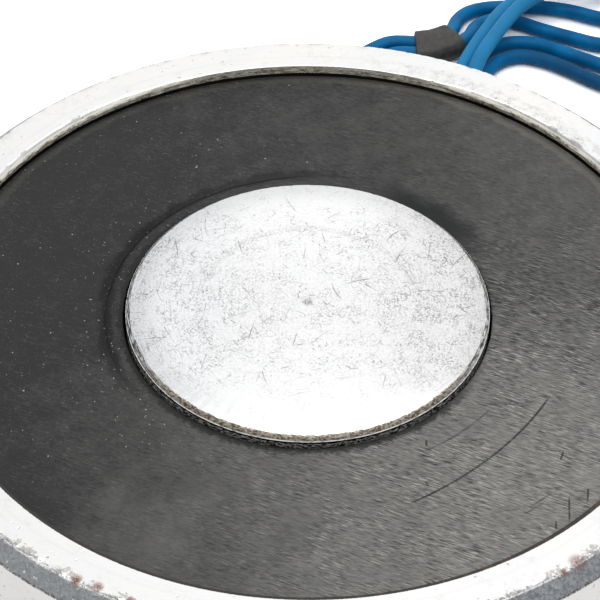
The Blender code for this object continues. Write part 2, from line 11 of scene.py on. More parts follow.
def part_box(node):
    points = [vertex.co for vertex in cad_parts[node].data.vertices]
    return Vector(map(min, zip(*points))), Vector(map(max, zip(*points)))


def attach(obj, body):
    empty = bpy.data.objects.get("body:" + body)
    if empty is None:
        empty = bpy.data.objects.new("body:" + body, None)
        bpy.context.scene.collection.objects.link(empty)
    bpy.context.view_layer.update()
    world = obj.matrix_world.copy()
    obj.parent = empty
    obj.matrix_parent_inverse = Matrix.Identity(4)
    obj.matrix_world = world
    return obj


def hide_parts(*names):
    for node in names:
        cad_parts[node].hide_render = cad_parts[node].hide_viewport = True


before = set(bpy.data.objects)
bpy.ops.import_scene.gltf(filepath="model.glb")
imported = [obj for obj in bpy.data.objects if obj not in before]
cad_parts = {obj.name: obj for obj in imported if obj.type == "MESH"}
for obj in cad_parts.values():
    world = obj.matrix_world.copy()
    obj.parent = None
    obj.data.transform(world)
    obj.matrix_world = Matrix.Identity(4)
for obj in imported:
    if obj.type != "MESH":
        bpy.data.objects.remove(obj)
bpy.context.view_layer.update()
scene = bpy.context.scene

MM = 0.001
UP = Vector((0, 0, 1))
SEAT = 0.3 * MM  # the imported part's clearance between pieces that touch

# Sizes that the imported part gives
POT_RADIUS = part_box("housing_pot")[1].x
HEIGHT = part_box("housing_pot")[1].z
POLE_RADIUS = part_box("pole_core")[1].x
SPIGOT_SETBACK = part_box("pole_core")[0].z
RESIN_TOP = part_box("potting_resin")[1].z
CAVITY_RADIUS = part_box("potting_resin")[1].x + SEAT

# Other sizes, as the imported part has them
BASE_THICKNESS = 8 * MM
RIM_CHAMFER = 1.5 * MM
BACK_CHAMFER = 1 * MM
POLE_CHAMFER = 0.4 * MM
SPIGOT_RADIUS = 10 * MM
TAP_RADIUS = 3.4 * MM
TAP_DEPTH = 14 * MM
NECK_BORE = POLE_RADIUS + 0.4 * MM
NECK_RADIUS = NECK_BORE + 1.6 * MM
RESIN_DISH = 0.2 * MM
EXIT_AZIMUTH = math.radians(103)
EXIT_Z = 14 * MM
GROMMET_RADIUS = 3.1 * MM

# Thread of the tapped hole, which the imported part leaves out
THREAD_PITCH = 1.25 * MM
THREAD_DEPTH = 0.5 * MM

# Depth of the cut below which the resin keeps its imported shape, and the gap at such cuts
RING_DEPTH = 1.5 * MM
CUT_GAP = 0.02 * MM

# Radii and height for the looks, in millimetres
SIDE = POT_RADIUS / MM
RIM_EDGE = (POT_RADIUS - RIM_CHAMFER) / MM
WALL = CAVITY_RADIUS / MM
POLE_EDGE = (POLE_RADIUS - POLE_CHAMFER) / MM
NECK = NECK_RADIUS / MM
TOP = HEIGHT / MM


# Camera
CAMERA_ELEVATION = math.radians(44.66)
CAMERA_ROLL = math.radians(0.295)
CAMERA_TARGET = Vector((-0.72, 0.56, 38)) * MM
CAMERA_DISTANCE = 242.1 * MM
CAMERA_LENS = 155.5
PICTURE_SIZE = 600


def make_camera():
    """The photo's camera: 45 degrees above the pole, from the front."""
    data = bpy.data.cameras.new("camera")
    data.sensor_width = 36
    data.lens = CAMERA_LENS
    data.clip_start = 0.01
    camera = bpy.data.objects.new("camera", data)
    scene.collection.objects.link(camera)
    scene.camera = camera
    back = Vector((0, -math.cos(CAMERA_ELEVATION), math.sin(CAMERA_ELEVATION)))
    side = Vector((1, 0, 0))
    up = back.cross(side)
    right = side * math.cos(CAMERA_ROLL) + up * math.sin(CAMERA_ROLL)
    top = up * math.cos(CAMERA_ROLL) - side * math.sin(CAMERA_ROLL)
    turn = Matrix((right, top, back)).transposed().to_4x4()
    camera.matrix_world = Matrix.Translation(CAMERA_TARGET + back * CAMERA_DISTANCE) @ turn
    scene.render.resolution_x = PICTURE_SIZE
    scene.render.resolution_y = PICTURE_SIZE
    scene.view_settings.view_transform = "Standard"


make_camera()


# Node graphs
MIX_INPUTS = (0, 6, 7)  # a colour mix's factor and two colours
MIX_RESULT = 2


class Value:
    """A node's output, which can be added, multiplied and so on like a plain number."""

    def __init__(self, graph, socket):
        self.graph = graph
        self.socket = socket

    def __add__(self, other):
        return self.graph.math("ADD", self, other)

    def __sub__(self, other):
        return self.graph.math("SUBTRACT", self, other)

    def __rsub__(self, other):
        return self.graph.math("SUBTRACT", other, self)

    def __mul__(self, other):
        return self.graph.math("MULTIPLY", self, other)

    def __truediv__(self, other):
        return self.graph.math("DIVIDE", self, other)

    def __abs__(self):
        return self.graph.math("ABSOLUTE", self)

    __radd__ = __add__
    __rmul__ = __mul__

    def step(self, low, high, to_low=0.0, to_high=1.0):
        """A smooth step from one level to another."""
        levels = {"From Min": low, "From Max": high, "To Min": to_low, "To Max": to_high}
        return self.graph.add("MapRange", {"Value": self, **levels}, interpolation_type="SMOOTHSTEP")

    def band(self, middle, half_width, soft):
        """One near the middle, and zero further off."""
        return abs(self - middle).step(half_width + soft, half_width)

    def other(self, output):
        """Another output of the same node."""
        return Value(self.graph, self.socket.node.outputs[output])


def most(*values):
    """The largest of some node outputs."""
    total = values[0]
    for value in values[1:]:
        total = total.graph.math("MAXIMUM", total, value)
    return total


class Graph:
    """A node tree, with short ways to add nodes."""

    def __init__(self, tree):
        self.tree = tree

    def feed(self, socket, value):
        """Links a node's output to a socket, or sets a constant there."""
        if isinstance(value, Value):
            self.tree.links.new(value.socket, socket)
        elif isinstance(value, tuple):
            socket.default_value = (*value, 1)[: len(socket.default_value)]
        else:
            socket.default_value = value

    def add(self, kind, inputs, output=0, **settings):
        """Adds a node, leaves inputs that are None as they are, and gives one of its outputs."""
        node = self.tree.nodes.new("ShaderNode" + kind)
        for name, setting in settings.items():
            setattr(node, name, setting)
        for key, value in inputs.items():
            if value is not None:
                self.feed(node.inputs[key], value)
        return Value(self, node.outputs[output])

    def math(self, operation, a, b=None):
        """A sum, product or other function of one or two values."""
        return self.add("Math", {0: a, 1: b}, operation=operation)

    def vector(self, operation, a, b=None, scale=None):
        """A vector sum, product, length or distance."""
        output = "Value" if operation in ("LENGTH", "DOT_PRODUCT", "DISTANCE") else "Vector"
        return self.add("VectorMath", {0: a, 1: b, "Scale": scale}, output, operation=operation)

    def parts(self, vector):
        """The x, y and z of a vector."""
        x = self.add("SeparateXYZ", {0: vector})
        return x, x.other(1), x.other(2)

    def mix(self, factor, a, b):
        """One colour where the factor is 0, and the other where it is 1."""
        return self.add("Mix", dict(zip(MIX_INPUTS, (factor, a, b))), MIX_RESULT, data_type="RGBA")


class Look(Graph):
    """A Principled material whose textures go by place on the magnet, in millimetres."""

    def __init__(self, name, colour, roughness, metallic=0.0, ior=1.5):
        self.material = bpy.data.materials.new(name)
        self.material.use_nodes = True
        super().__init__(self.material.node_tree)
        self.shader = self.tree.nodes["Principled BSDF"]
        self.set("Metallic", metallic)
        self.set("IOR", ior)
        self.set("Base Color", colour)
        self.set("Roughness", roughness)
        self.colour = colour
        self.relief = None
        self.mm = self.vector("SCALE", self.add("TexCoord", {}, "Object"), scale=1 / MM)
        self.level = self.vector("MULTIPLY", self.mm, (1, 1, 0))
        self.radius = self.vector("LENGTH", self.level)

    def set(self, name, value):
        """Sets or links one input of the shader."""
        self.feed(self.shader.inputs[name], value)

    def paint(self, share, colour):
        """Puts that share of a colour over what is there already."""
        self.colour = self.mix(share, self.colour, colour)
        self.set("Base Color", self.colour)

    def bump(self, height, distance, strength):
        """Adds relief. distance is in millimetres."""
        inputs = {"Height": height, "Distance": distance * MM, "Strength": strength, "Normal": self.relief}
        self.relief = self.add("Bump", inputs)
        self.set("Normal", self.relief)

    def along(self, scale, turn=0.0, shift=(0, 0, 0)):
        """Position seen along a level direction and then stretched, for streaks that run that way."""
        inputs = {"Vector": self.mm, "Rotation": (0, 0, turn), "Location": shift}
        return self.vector("MULTIPLY", self.add("Mapping", inputs, vector_type="TEXTURE"), scale)

    def noise(self, scale, detail=2.0, roughness=0.5, source=None, fourth=None):
        """Soft random variation, with the scale in features per millimetre."""
        inputs = {"Vector": source or self.mm, "W": fourth}
        inputs |= {"Scale": scale, "Detail": detail, "Roughness": roughness}
        return self.add("TexNoise", inputs, noise_dimensions="4D" if fourth else "3D")

    def streaks(self, stretch, degrees, shift, detail, roughness):
        """Noise stretched along a level direction."""
        return self.noise(1.0, detail, roughness, source=self.along(stretch, math.radians(degrees), shift))

    def turned(self, around, across, up, detail=2.0, roughness=0.5):
        """Noise in rings: features per radian round the axis, and per millimetre out and up."""
        ring = self.vector("SCALE", self.vector("NORMALIZE", self.level), scale=around)
        place = self.vector("ADD", ring, self.vector("MULTIPLY", self.mm, (0, 0, up)))
        return self.noise(1, detail, roughness, source=place, fourth=self.radius * across)

    def cells(self, scale):
        """Distance to the nearest of many random points."""
        return self.add("TexVoronoi", {"Vector": self.mm, "Scale": scale})

    def strokes(self, scale, length, width, share, bend, shift):
        """Short scratches on a level face, at most one per cell, each its own way round."""
        source = self.along((1, 1, 0), shift=shift)
        inputs = {"Vector": source, "Scale": scale}
        cell = self.add("TexVoronoi", inputs, "Position", voronoi_dimensions="2D")
        x, y, _ = self.parts(self.vector("SUBTRACT", source, cell))
        chance, way, curl = self.parts(cell.other("Color"))
        sine = self.math("SINE", way * math.pi)
        cosine = self.math("COSINE", way * math.pi)
        ahead = x * cosine + y * sine
        aside = y * cosine - x * sine
        off = abs(aside + (curl - 0.5) * ahead * ahead * bend)
        line = off.step(width, width * 0.3) * ahead.band(0, length * 0.35, length * 0.15)
        return line * chance.step(1 - share, 1.02 - share) * (0.35 + curl * 0.65)

    def azimuth(self, middle):
        """Angle round the axis, in degrees from a direction."""
        x, y, _ = self.parts(self.along((1, 1, 1), math.radians(middle)))
        return self.math("ARCTAN2", y, x) * math.degrees(1)

    def spot(self, place, reach, soft):
        """One within reach of a place, both in millimetres."""
        return self.vector("DISTANCE", self.mm, place).step(reach + soft, reach)

    def arc(self, centre, radius, start, end, width):
        """A thin scratch along part of a circle, with angles in degrees."""
        from_centre = self.vector("SUBTRACT", self.level, (*centre, 0))
        x, y, _ = self.parts(from_centre)
        middle = math.radians((start + end) / 2)
        half = math.radians(end - start) / 2
        ring = self.vector("LENGTH", from_centre).band(radius, width / 2, width / 2)
        return ring * self.math("ARCTAN2", y, x).band(middle, half * 0.85, half * 0.15)

    def tick(self, start, end, width):
        """A thin straight mark between two points."""
        reach = Vector(end) - Vector(start)
        middle = (Vector(start) + Vector(end)) / 2
        unit = reach.normalized()
        shifted = self.vector("SUBTRACT", self.level, (*middle, 0))
        ahead = self.vector("DOT_PRODUCT", shifted, (*unit, 0))
        aside = self.vector("DOT_PRODUCT", shifted, (-unit.y, unit.x, 0))
        half = reach.length / 2
        return ahead.band(0, half * 0.6, half * 0.4) * aside.band(0, width / 2, width / 2)


# Meshes
SHARP_ANGLE = math.radians(35)
POT_SEGMENTS = 768
POLE_SEGMENTS = 384
RESIN_SEGMENTS = 512
RESIN_RINGS = 44
HOLE_SIDES = 48
FIT = 0.05 * MM  # gap left round what is pressed in


def heading(azimuth):
    """The level unit vector towards an azimuth."""
    return Vector((math.cos(azimuth), math.sin(azimuth), 0))


def new_object(name, bm):
    """Puts a bmesh in the scene as an object."""
    mesh = bpy.data.meshes.new(name)
    bm.to_mesh(mesh)
    bm.free()
    obj = bpy.data.objects.new(name, mesh)
    scene.collection.objects.link(obj)
    return obj


def add_piece(name, bm, look, node):
    """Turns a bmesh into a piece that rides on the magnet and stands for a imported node."""
    bmesh.ops.recalc_face_normals(bm, faces=bm.faces)
    obj = new_object(name, bm)
    obj.data.shade_smooth()
    obj.data.set_sharp_from_angle(angle=SHARP_ANGLE)
    obj.data.materials.append(look.material)
    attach(obj, "root")
    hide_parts(node)
    return obj


def lathe(profile, segments, shape, closed=True):
    """Spins (radius, z) points round Z. shape gives each point's place from its radius, angle and z."""
    bm = bmesh.new()
    rows = []
    for radius, z in profile:
        row = []
        for i in range(segments if radius > 0 else 1):
            angle = 2 * math.pi * i / segments
            r, h = shape(radius, angle, z)
            row.append(bm.verts.new((r * math.cos(angle), r * math.sin(angle), h)))
        rows.append(row)
    for low, high in zip(rows, rows[1:] + rows[:1] if closed else rows[1:]):
        for i in range(segments):
            after = (i + 1) % segments
            corners = ((low, i), (low, after), (high, after), (high, i))
            bm.faces.new(dict.fromkeys(row[k % len(row)] for row, k in corners))
    return bm


def steps(start, end, count):
    """Evenly spaced (radius, z) points from start up to, but not including, end."""
    return [tuple(a + (b - a) * i / count for a, b in zip(start, end)) for i in range(count)]


def corner(radius, z, across, down, *shares):
    """(radius, z) points near a corner, by shares of two sizes towards the axis and down."""
    return [(radius - across * inwards, z - down * lower) for inwards, lower in shares]


def sweep(points, radius, sides, bm=None):
    """A round tube along points, with closed ends and no twist."""
    bm = bm or bmesh.new()
    rings = []
    normal = UP
    for i, point in enumerate(points):
        ahead = (points[min(i + 1, len(points) - 1)] - points[max(i - 1, 0)]).normalized()
        normal = (normal - ahead * normal.dot(ahead)).normalized()
        side = ahead.cross(normal)
        ring = []
        for k in range(sides):
            t = 2 * math.pi * k / sides
            ring.append(bm.verts.new(point + (side * math.cos(t) + normal * math.sin(t)) * radius))
        rings.append(ring)
    join_rings(bm, zip(rings, rings[1:]))
    bm.faces.new(rings[0])
    bm.faces.new(rings[-1])
    return bm


def join_rings(bm, pairs):
    """Faces between pairs of rings with the same number of points."""
    for near, far in pairs:
        for k in range(len(near)):
            after = (k + 1) % len(near)
            bm.faces.new((near[k], near[after], far[after], far[k]))


def packed_below(name, z):
    """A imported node's mesh, cut off at a height and closed there."""
    bm = bmesh.new()
    bm.from_mesh(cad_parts[name].data)
    bmesh.ops.remove_doubles(bm, verts=bm.verts, dist=1e-6)
    parts = bm.verts[:] + bm.edges[:] + bm.faces[:]
    sliced = bmesh.ops.bisect_plane(bm, geom=parts, plane_co=UP * z, plane_no=UP, clear_outer=True)
    cut_edges = [edge for edge in sliced["geom_cut"] if isinstance(edge, bmesh.types.BMEdge)]
    bmesh.ops.edgeloop_fill(bm, edges=cut_edges)
    return bm


def smooth_step(value, low, high):
    """A smooth step from 0 to 1."""
    t = min(1, max(0, (value - low) / (high - low)))
    return t * t * (3 - 2 * t)


def smooth_line(points, step, before=None, after=None):
    """Points about one step apart on a centripetal Catmull-Rom curve through given points.

    It leaves the first point away from the one named before, and comes in towards the one after.
    """
    line = [before or 2 * points[0] - points[1], *points, after or 2 * points[-1] - points[-2]]
    fine = []
    for p0, p1, p2, p3 in zip(line, line[1:], line[2:], line[3:]):
        t1 = (p1 - p0).length ** 0.5
        t2 = t1 + (p2 - p1).length ** 0.5
        t3 = t2 + (p3 - p2).length ** 0.5
        for i in range(SMOOTH_STEPS):
            t = t1 + (t2 - t1) * i / SMOOTH_STEPS
            a1 = p0.lerp(p1, t / t1)
            a2 = p1.lerp(p2, (t - t1) / (t2 - t1))
            a3 = p2.lerp(p3, (t - t2) / (t3 - t2))
            b1 = a1.lerp(a2, t / t2)
            b2 = a2.lerp(a3, (t - t1) / (t3 - t1))
            fine.append(b1.lerp(b2, (t - t1) / (t2 - t1)))
    fine.append(points[-1])
    along = [0.0]
    for a, b in zip(fine, fine[1:]):
        along.append(along[-1] + (b - a).length)
    count = max(2, round(along[-1] / step))
    spaced = []
    k = 0
    for i in range(count + 1):
        at = along[-1] * i / count
        while k < len(fine) - 2 and along[k + 1] < at:
            k += 1
        spaced.append(fine[k].lerp(fine[k + 1], (at - along[k]) / (along[k + 1] - along[k])))
    return spaced


# Leads: sizes, and where they leave the wall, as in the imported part
LEAD_DIAMETER = 1.8 * MM
LEAD_PITCH = LEAD_DIAMETER + SEAT
LEAD_INNER_BEND = 2 * LEAD_DIAMETER
LEAD_SOLDERED_LENGTH = LEAD_DIAMETER + 3 * MM
LEAD_STRAIGHT_OUT = 4.7 * MM
LEAD_STEP = 0.6 * MM
LEAD_SIDES = 24
TIP_LENGTH = 6 * MM
GROMMET_STANDS_OUT = 1.2 * MM
WIRING_RADIUS = (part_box("winding_tape")[1].x + SEAT) + 1.5 * MM
WRAP_LENGTH = 5.4 * MM
WRAP_THICKNESS = 0.35 * MM
WRAP_BEND = 8.5 * MM
WRAP_START = Vector((0.0136, 0.0825, 0.00165))
WRAP_AZIMUTH = math.radians(2)
BEND_STEPS = 12
SMOOTH_STEPS = 16

exit_out = heading(EXIT_AZIMUTH)
exit_left = Vector((-exit_out.y, exit_out.x, 0))
wrap_centre = WRAP_START + Vector((-math.sin(WRAP_AZIMUTH), math.cos(WRAP_AZIMUTH), 0)) * WRAP_BEND

# Routes outside the pot, in metres: from the wall to the wrap, and from the wrap to the tip
LEAD_A_TO_WRAP = [
    (-0.0127, 0.0506, 0.0116),
    (-0.013, 0.0546, 0.0082),
    (-0.0123, 0.0589, 0.0046),
    (-0.0104, 0.0631, 0.0019),
    (-0.0076, 0.0674, 0.001),
    (-0.0038, 0.0717, 0.001),
    (0.0002, 0.0757, 0.001),
    (0.004, 0.0794, 0.001),
    (0.0074, 0.0822, 0.0011),
    (0.0104, 0.0837, 0.0015),
]
LEAD_A_FROM_WRAP = [
    (0.0186, 0.0868, 0.0015),
    (0.0192, 0.0888, 0.0011),
    (0.0206, 0.0905, 0.001),
    (0.0229, 0.0914, 0.001),
    (0.026, 0.0917, 0.001),
    (0.0299, 0.0917, 0.001),
    (0.0335, 0.091, 0.001),
    (0.0374, 0.0895, 0.001),
    (0.043, 0.0881, 0.001),
    (0.0493, 0.0877, 0.001),
    (0.055, 0.0854, 0.001),
    (0.0573, 0.0794, 0.001),
    (0.055, 0.0734, 0.001),
    (0.049, 0.071, 0.001),
    (0.0424, 0.0736, 0.001),
    (0.0362, 0.0768, 0.001),
    (0.0324, 0.0795, 0.001),
    (0.0296, 0.0811, 0.001),
    (0.0268, 0.0818, 0.001),
    (0.0243, 0.0809, 0.001),
    (0.0222, 0.0787, 0.001),
    (0.0182, 0.075, 0.001),
    (0.012, 0.0716, 0.001),
    (0.0076, 0.0684, 0.001),
    (0.0053, 0.0643, 0.001),
    (0.0071, 0.0605, 0.001),
    (0.0108, 0.0591, 0.001),
    (0.0146, 0.061, 0.001),
    (0.0158, 0.0654, 0.00125),
    (0.017, 0.0706, 0.0024),
    (0.0193, 0.077, 0.0033),
    (0.0222, 0.0833, 0.0034),
    (0.025, 0.0882, 0.00335),
    (0.0286, 0.092, 0.0033),
    (0.0334, 0.0949, 0.0026),
    (0.0388, 0.0965, 0.0012),
    (0.044, 0.0966, 0.001),
    (0.049, 0.095, 0.001),
]
LEAD_B_TO_WRAP = [
    (-0.0105, 0.0509, 0.0116),
    (-0.0108, 0.0545, 0.0082),
    (-0.0102, 0.0582, 0.0046),
    (-0.0084, 0.0618, 0.0019),
    (-0.0058, 0.0659, 0.001),
    (-0.0022, 0.0701, 0.001),
    (0.0017, 0.0741, 0.001),
    (0.0054, 0.0777, 0.001),
    (0.0086, 0.0804, 0.0011),
    (0.011, 0.08155, 0.0015),
]
LEAD_B_FROM_WRAP = [
    (0.0206, 0.0852, 0.0015),
    (0.0213, 0.0871, 0.0011),
    (0.0227, 0.0886, 0.001),
    (0.0248, 0.0892, 0.001),
    (0.0271, 0.0885, 0.001),
    (0.0296, 0.0872, 0.001),
    (0.033, 0.0857, 0.001),
    (0.037, 0.0842, 0.001),
    (0.043, 0.0839, 0.001),
    (0.049, 0.085, 0.001),
    (0.0529, 0.0833, 0.001),
    (0.0545, 0.0794, 0.001),
    (0.0529, 0.0755, 0.001),
    (0.049, 0.0738, 0.001),
    (0.043, 0.0766, 0.001),
    (0.0366, 0.0802, 0.001),
    (0.0326, 0.0824, 0.001),
    (0.0296, 0.084, 0.001),
    (0.0266, 0.0845, 0.001),
    (0.0238, 0.0837, 0.001),
    (0.0217, 0.0815, 0.001),
    (0.0196, 0.0792, 0.001),
    (0.013, 0.0747, 0.001),
    (0.006, 0.0707, 0.001),
    (0.0026, 0.0643, 0.001),
    (0.0047, 0.0589, 0.001),
    (0.0108, 0.0563, 0.001),
    (0.0169, 0.0592, 0.001),
    (0.0184, 0.0646, 0.00125),
    (0.0192, 0.0699, 0.0026),
    (0.021, 0.076, 0.00465),
    (0.024, 0.0823, 0.00485),
    (0.0269, 0.087, 0.00485),
    (0.0304, 0.0902, 0.0047),
    (0.035, 0.0926, 0.0038),
    (0.0394, 0.0941, 0.0019),
    (0.044, 0.0943, 0.001),
    (0.049, 0.0927, 0.001),
]


def lead_inner_points(side):
    """The lead from its soldered end, round a bend inside the pot and straight out of the wall."""
    across = side * (LEAD_PITCH / 2 + LEAD_INNER_BEND)
    ahead = math.sqrt((WIRING_RADIUS + LEAD_INNER_BEND) ** 2 - across**2)
    turn = EXIT_AZIMUTH + math.atan2(across, ahead)
    soldered = turn + side * LEAD_SOLDERED_LENGTH / WIRING_RADIUS
    height = UP * EXIT_Z
    points = []
    for i in range(BEND_STEPS):
        t = soldered + (turn - soldered) * i / BEND_STEPS
        points.append(heading(t) * WIRING_RADIUS + height)
    centre = exit_left * across + exit_out * ahead + height
    start = math.atan2(-math.sin(turn), -math.cos(turn))
    straight = math.atan2(-side * exit_left.y, -side * exit_left.x)
    sweep_angle = (straight - start + math.pi) % (2 * math.pi) - math.pi
    for i in range(BEND_STEPS + 1):
        t = start + sweep_angle * i / BEND_STEPS
        points.append(centre + heading(t) * LEAD_INNER_BEND)
    beside = exit_left * side * LEAD_PITCH / 2 + height
    for out in (GROMMET_STANDS_OUT, LEAD_STRAIGHT_OUT):
        points.append(exit_out * (POT_RADIUS + out) + beside)
    return points


def wrap_station(share, left, up=0.0):
    """A point that share of the way through the wrap, off its middle line."""
    azimuth = WRAP_AZIMUTH + WRAP_LENGTH / WRAP_BEND * share
    out = Vector((math.sin(azimuth), -math.cos(azimuth), 0))
    return wrap_centre + out * (WRAP_BEND - left) + UP * up


def lead_line(side, to_wrap, from_wrap):
    """The whole centre line of one lead, with an arc through the wrap."""
    inner = lead_inner_points(side)
    held = [wrap_station(i / BEND_STEPS, side * LEAD_PITCH / 2) for i in range(BEND_STEPS + 1)]
    reach = [Vector(point) for point in to_wrap]
    leave = [Vector(point) for point in from_wrap]
    first = smooth_line([*inner[-2:], *reach, held[0]], LEAD_STEP, after=held[1])
    second = smooth_line([held[-1], *leave], LEAD_STEP, before=held[-2])
    return inner[:-1] + first[1:] + held[1:-1] + second


def blue_pvc():
    """Blue insulation with a soft sheen: painted light makes the raised runs paler, and painted shade
    darkens the lowest row on the right.
    """
    look = Look("blue_pvc", (0.0, 0.1, 0.255), 0.42, ior=1.2)
    x, y, z = look.parts(look.mm)
    cloud = look.noise(0.35, 3)
    fine = look.noise(6.0, 3)
    look.paint(cloud.step(0.35, 0.7), (0.0, 0.145, 0.36))
    # Painted light: the raised runs, nearer the lamps, are paler.
    look.paint(z.step(1.8, 3.4) * 0.55, (0.03, 0.26, 0.50))
    # Painted shade: the lowest row of leads on the right is darkened.
    shaded_low_run = (y + x * 0.45).step(96.2, 94.4) * x.step(24, 32) * z.step(2.8, 2.2)
    look.paint(shaded_low_run * 0.7, (0.006, 0.045, 0.11))
    scuffs = look.noise(1.0, 4, 0.6, source=look.along((3.0, 0.5, 3.0), 0.4)).step(0.62, 0.72)
    look.paint(scuffs * 0.2, (0.02, 0.2, 0.46))
    look.set("Roughness", 0.36 + fine * 0.14)
    look.bump(cloud, 0.05, 0.5)
    look.bump(fine, 0.006, 0.5)
    return look


def tinned():
    """Tinned copper strands."""
    look = Look("tinned", (0.76, 0.75, 0.72), 0.32, 1.0)
    patches = look.noise(2.2, 3)
    look.paint(patches.step(0.5, 0.7), (0.62, 0.58, 0.52))
    look.set("Roughness", 0.22 + patches * 0.25)
    look.bump(look.noise(9.0, 2), 0.01, 0.4)
    return look


STRANDS_ROUND = 6
STRAND_RADIUS = 0.165 * MM
STRAND_TURNS = 1.6
STRAND_STEPS = 40
STRAND_SIDES = 8


def stranded(start, ahead):
    """A bare end: six strands twisted round one."""
    across = ahead.cross(UP).normalized()
    up = across.cross(ahead)
    bm = bmesh.new()
    for k in range(STRANDS_ROUND + 1):
        out = 2 * STRAND_RADIUS if k < STRANDS_ROUND else 0
        points = []
        for i in range(STRAND_STEPS + 1):
            share = i / STRAND_STEPS
            turn = 2 * math.pi * (k / STRANDS_ROUND + STRAND_TURNS * share)
            offset = (across * math.cos(turn) + up * math.sin(turn)) * out
            points.append(start + ahead * TIP_LENGTH * share + offset)
        sweep(points, STRAND_RADIUS, STRAND_SIDES, bm)
    return bm


WRAP_SIDES = 64
WRAP_STATIONS = 20
WRAP_OUTSIDE = LEAD_DIAMETER / 2 + SEAT + WRAP_THICKNESS
WRAP_INSIDE = LEAD_DIAMETER / 2 + FIT
WRAP_UNEVEN = 0.05 * MM
WRAP_END_SHAPE = ((0.0, 0.0), (0.0, 0.6), (0.015, 0.9))  # share of the length, and of the thickness


def make_wrap(look):
    """The dark wrap round both leads, with rounded ends and a slightly uneven surface."""
    bm = bmesh.new()
    rings = []
    middle = [(i / WRAP_STATIONS, 1.0) for i in range(1, WRAP_STATIONS)]
    end = [(1 - share, full) for share, full in reversed(WRAP_END_SHAPE)]
    for share, full in [*WRAP_END_SHAPE, *middle, *end]:
        ring = []
        for k in range(WRAP_SIDES):
            t = 2 * math.pi * k / WRAP_SIDES
            flat = LEAD_PITCH / 2 * max(-1, min(1, 2.2 * math.cos(t)))
            uneven = WRAP_UNEVEN * (1 + perlin.noise(heading(t) * 3 + UP * 6 * share))
            size = WRAP_INSIDE + (WRAP_OUTSIDE - WRAP_INSIDE - uneven) * full
            place = wrap_station(share, flat + size * math.cos(t), size * math.sin(t))
            ring.append(bm.verts.new(place))
        rings.append(ring)
    join_rings(bm, zip(rings, rings[1:] + rings[:1]))
    return add_piece("wrap", bm, look, "lead_wrap")


def wrap_look():
    """Brown-grey tape, a little shiny."""
    look = Look("wrap_plastic", (0.026, 0.024, 0.021), 0.5)
    cloud = look.noise(1.3, 4, 0.6)
    look.paint(cloud.step(0.35, 0.7), (0.052, 0.049, 0.042))
    look.set("Roughness", 0.38 + cloud * 0.25)
    look.bump(look.noise(3.5, 3), 0.03, 0.6)
    return look


def make_leads():
    """Both leads, their bare ends and the wrap that holds them together."""
    insulation = blue_pvc()
    wire = tinned()
    wrap = make_wrap(wrap_look())
    routes = (("a", 1, LEAD_A_TO_WRAP, LEAD_A_FROM_WRAP), ("b", -1, LEAD_B_TO_WRAP, LEAD_B_FROM_WRAP))
    for letter, side, to_wrap, from_wrap in routes:
        line = lead_line(side, to_wrap, from_wrap)
        cover = sweep(line, LEAD_DIAMETER / 2, LEAD_SIDES)
        lead = add_piece(f"lead_{letter}_cover", cover, insulation, f"lead_{letter}")
        strands = stranded(line[-1], (line[-1] - line[-2]).normalized())
        tip = add_piece(f"lead_{letter}_strands", strands, wire, f"lead_tip_{letter}")
        beside = exit_left * side * LEAD_PITCH / 2
        exit_out * (POT_RADIUS + GROMMET_STANDS_OUT) + beside + UP * EXIT_Z
        sum((b - a).length for a, b in zip(line, line[1:]))
        [tip, wrap] if side > 0 else [tip]


make_leads()


# Steel
# Rust spots on the rim: place and reach in millimetres, and strength
RUST = (
    ((-19.4, -33.0), 0.2, 1.0),
    ((-17.6, -33.8), 0.2, 1.0),
    ((-14.8, -35.2), 0.1, 1.0),
    ((22.9, -30.8), 0.35, 0.75),
    ((21.7, -31.9), 0.1, 1.0),
)


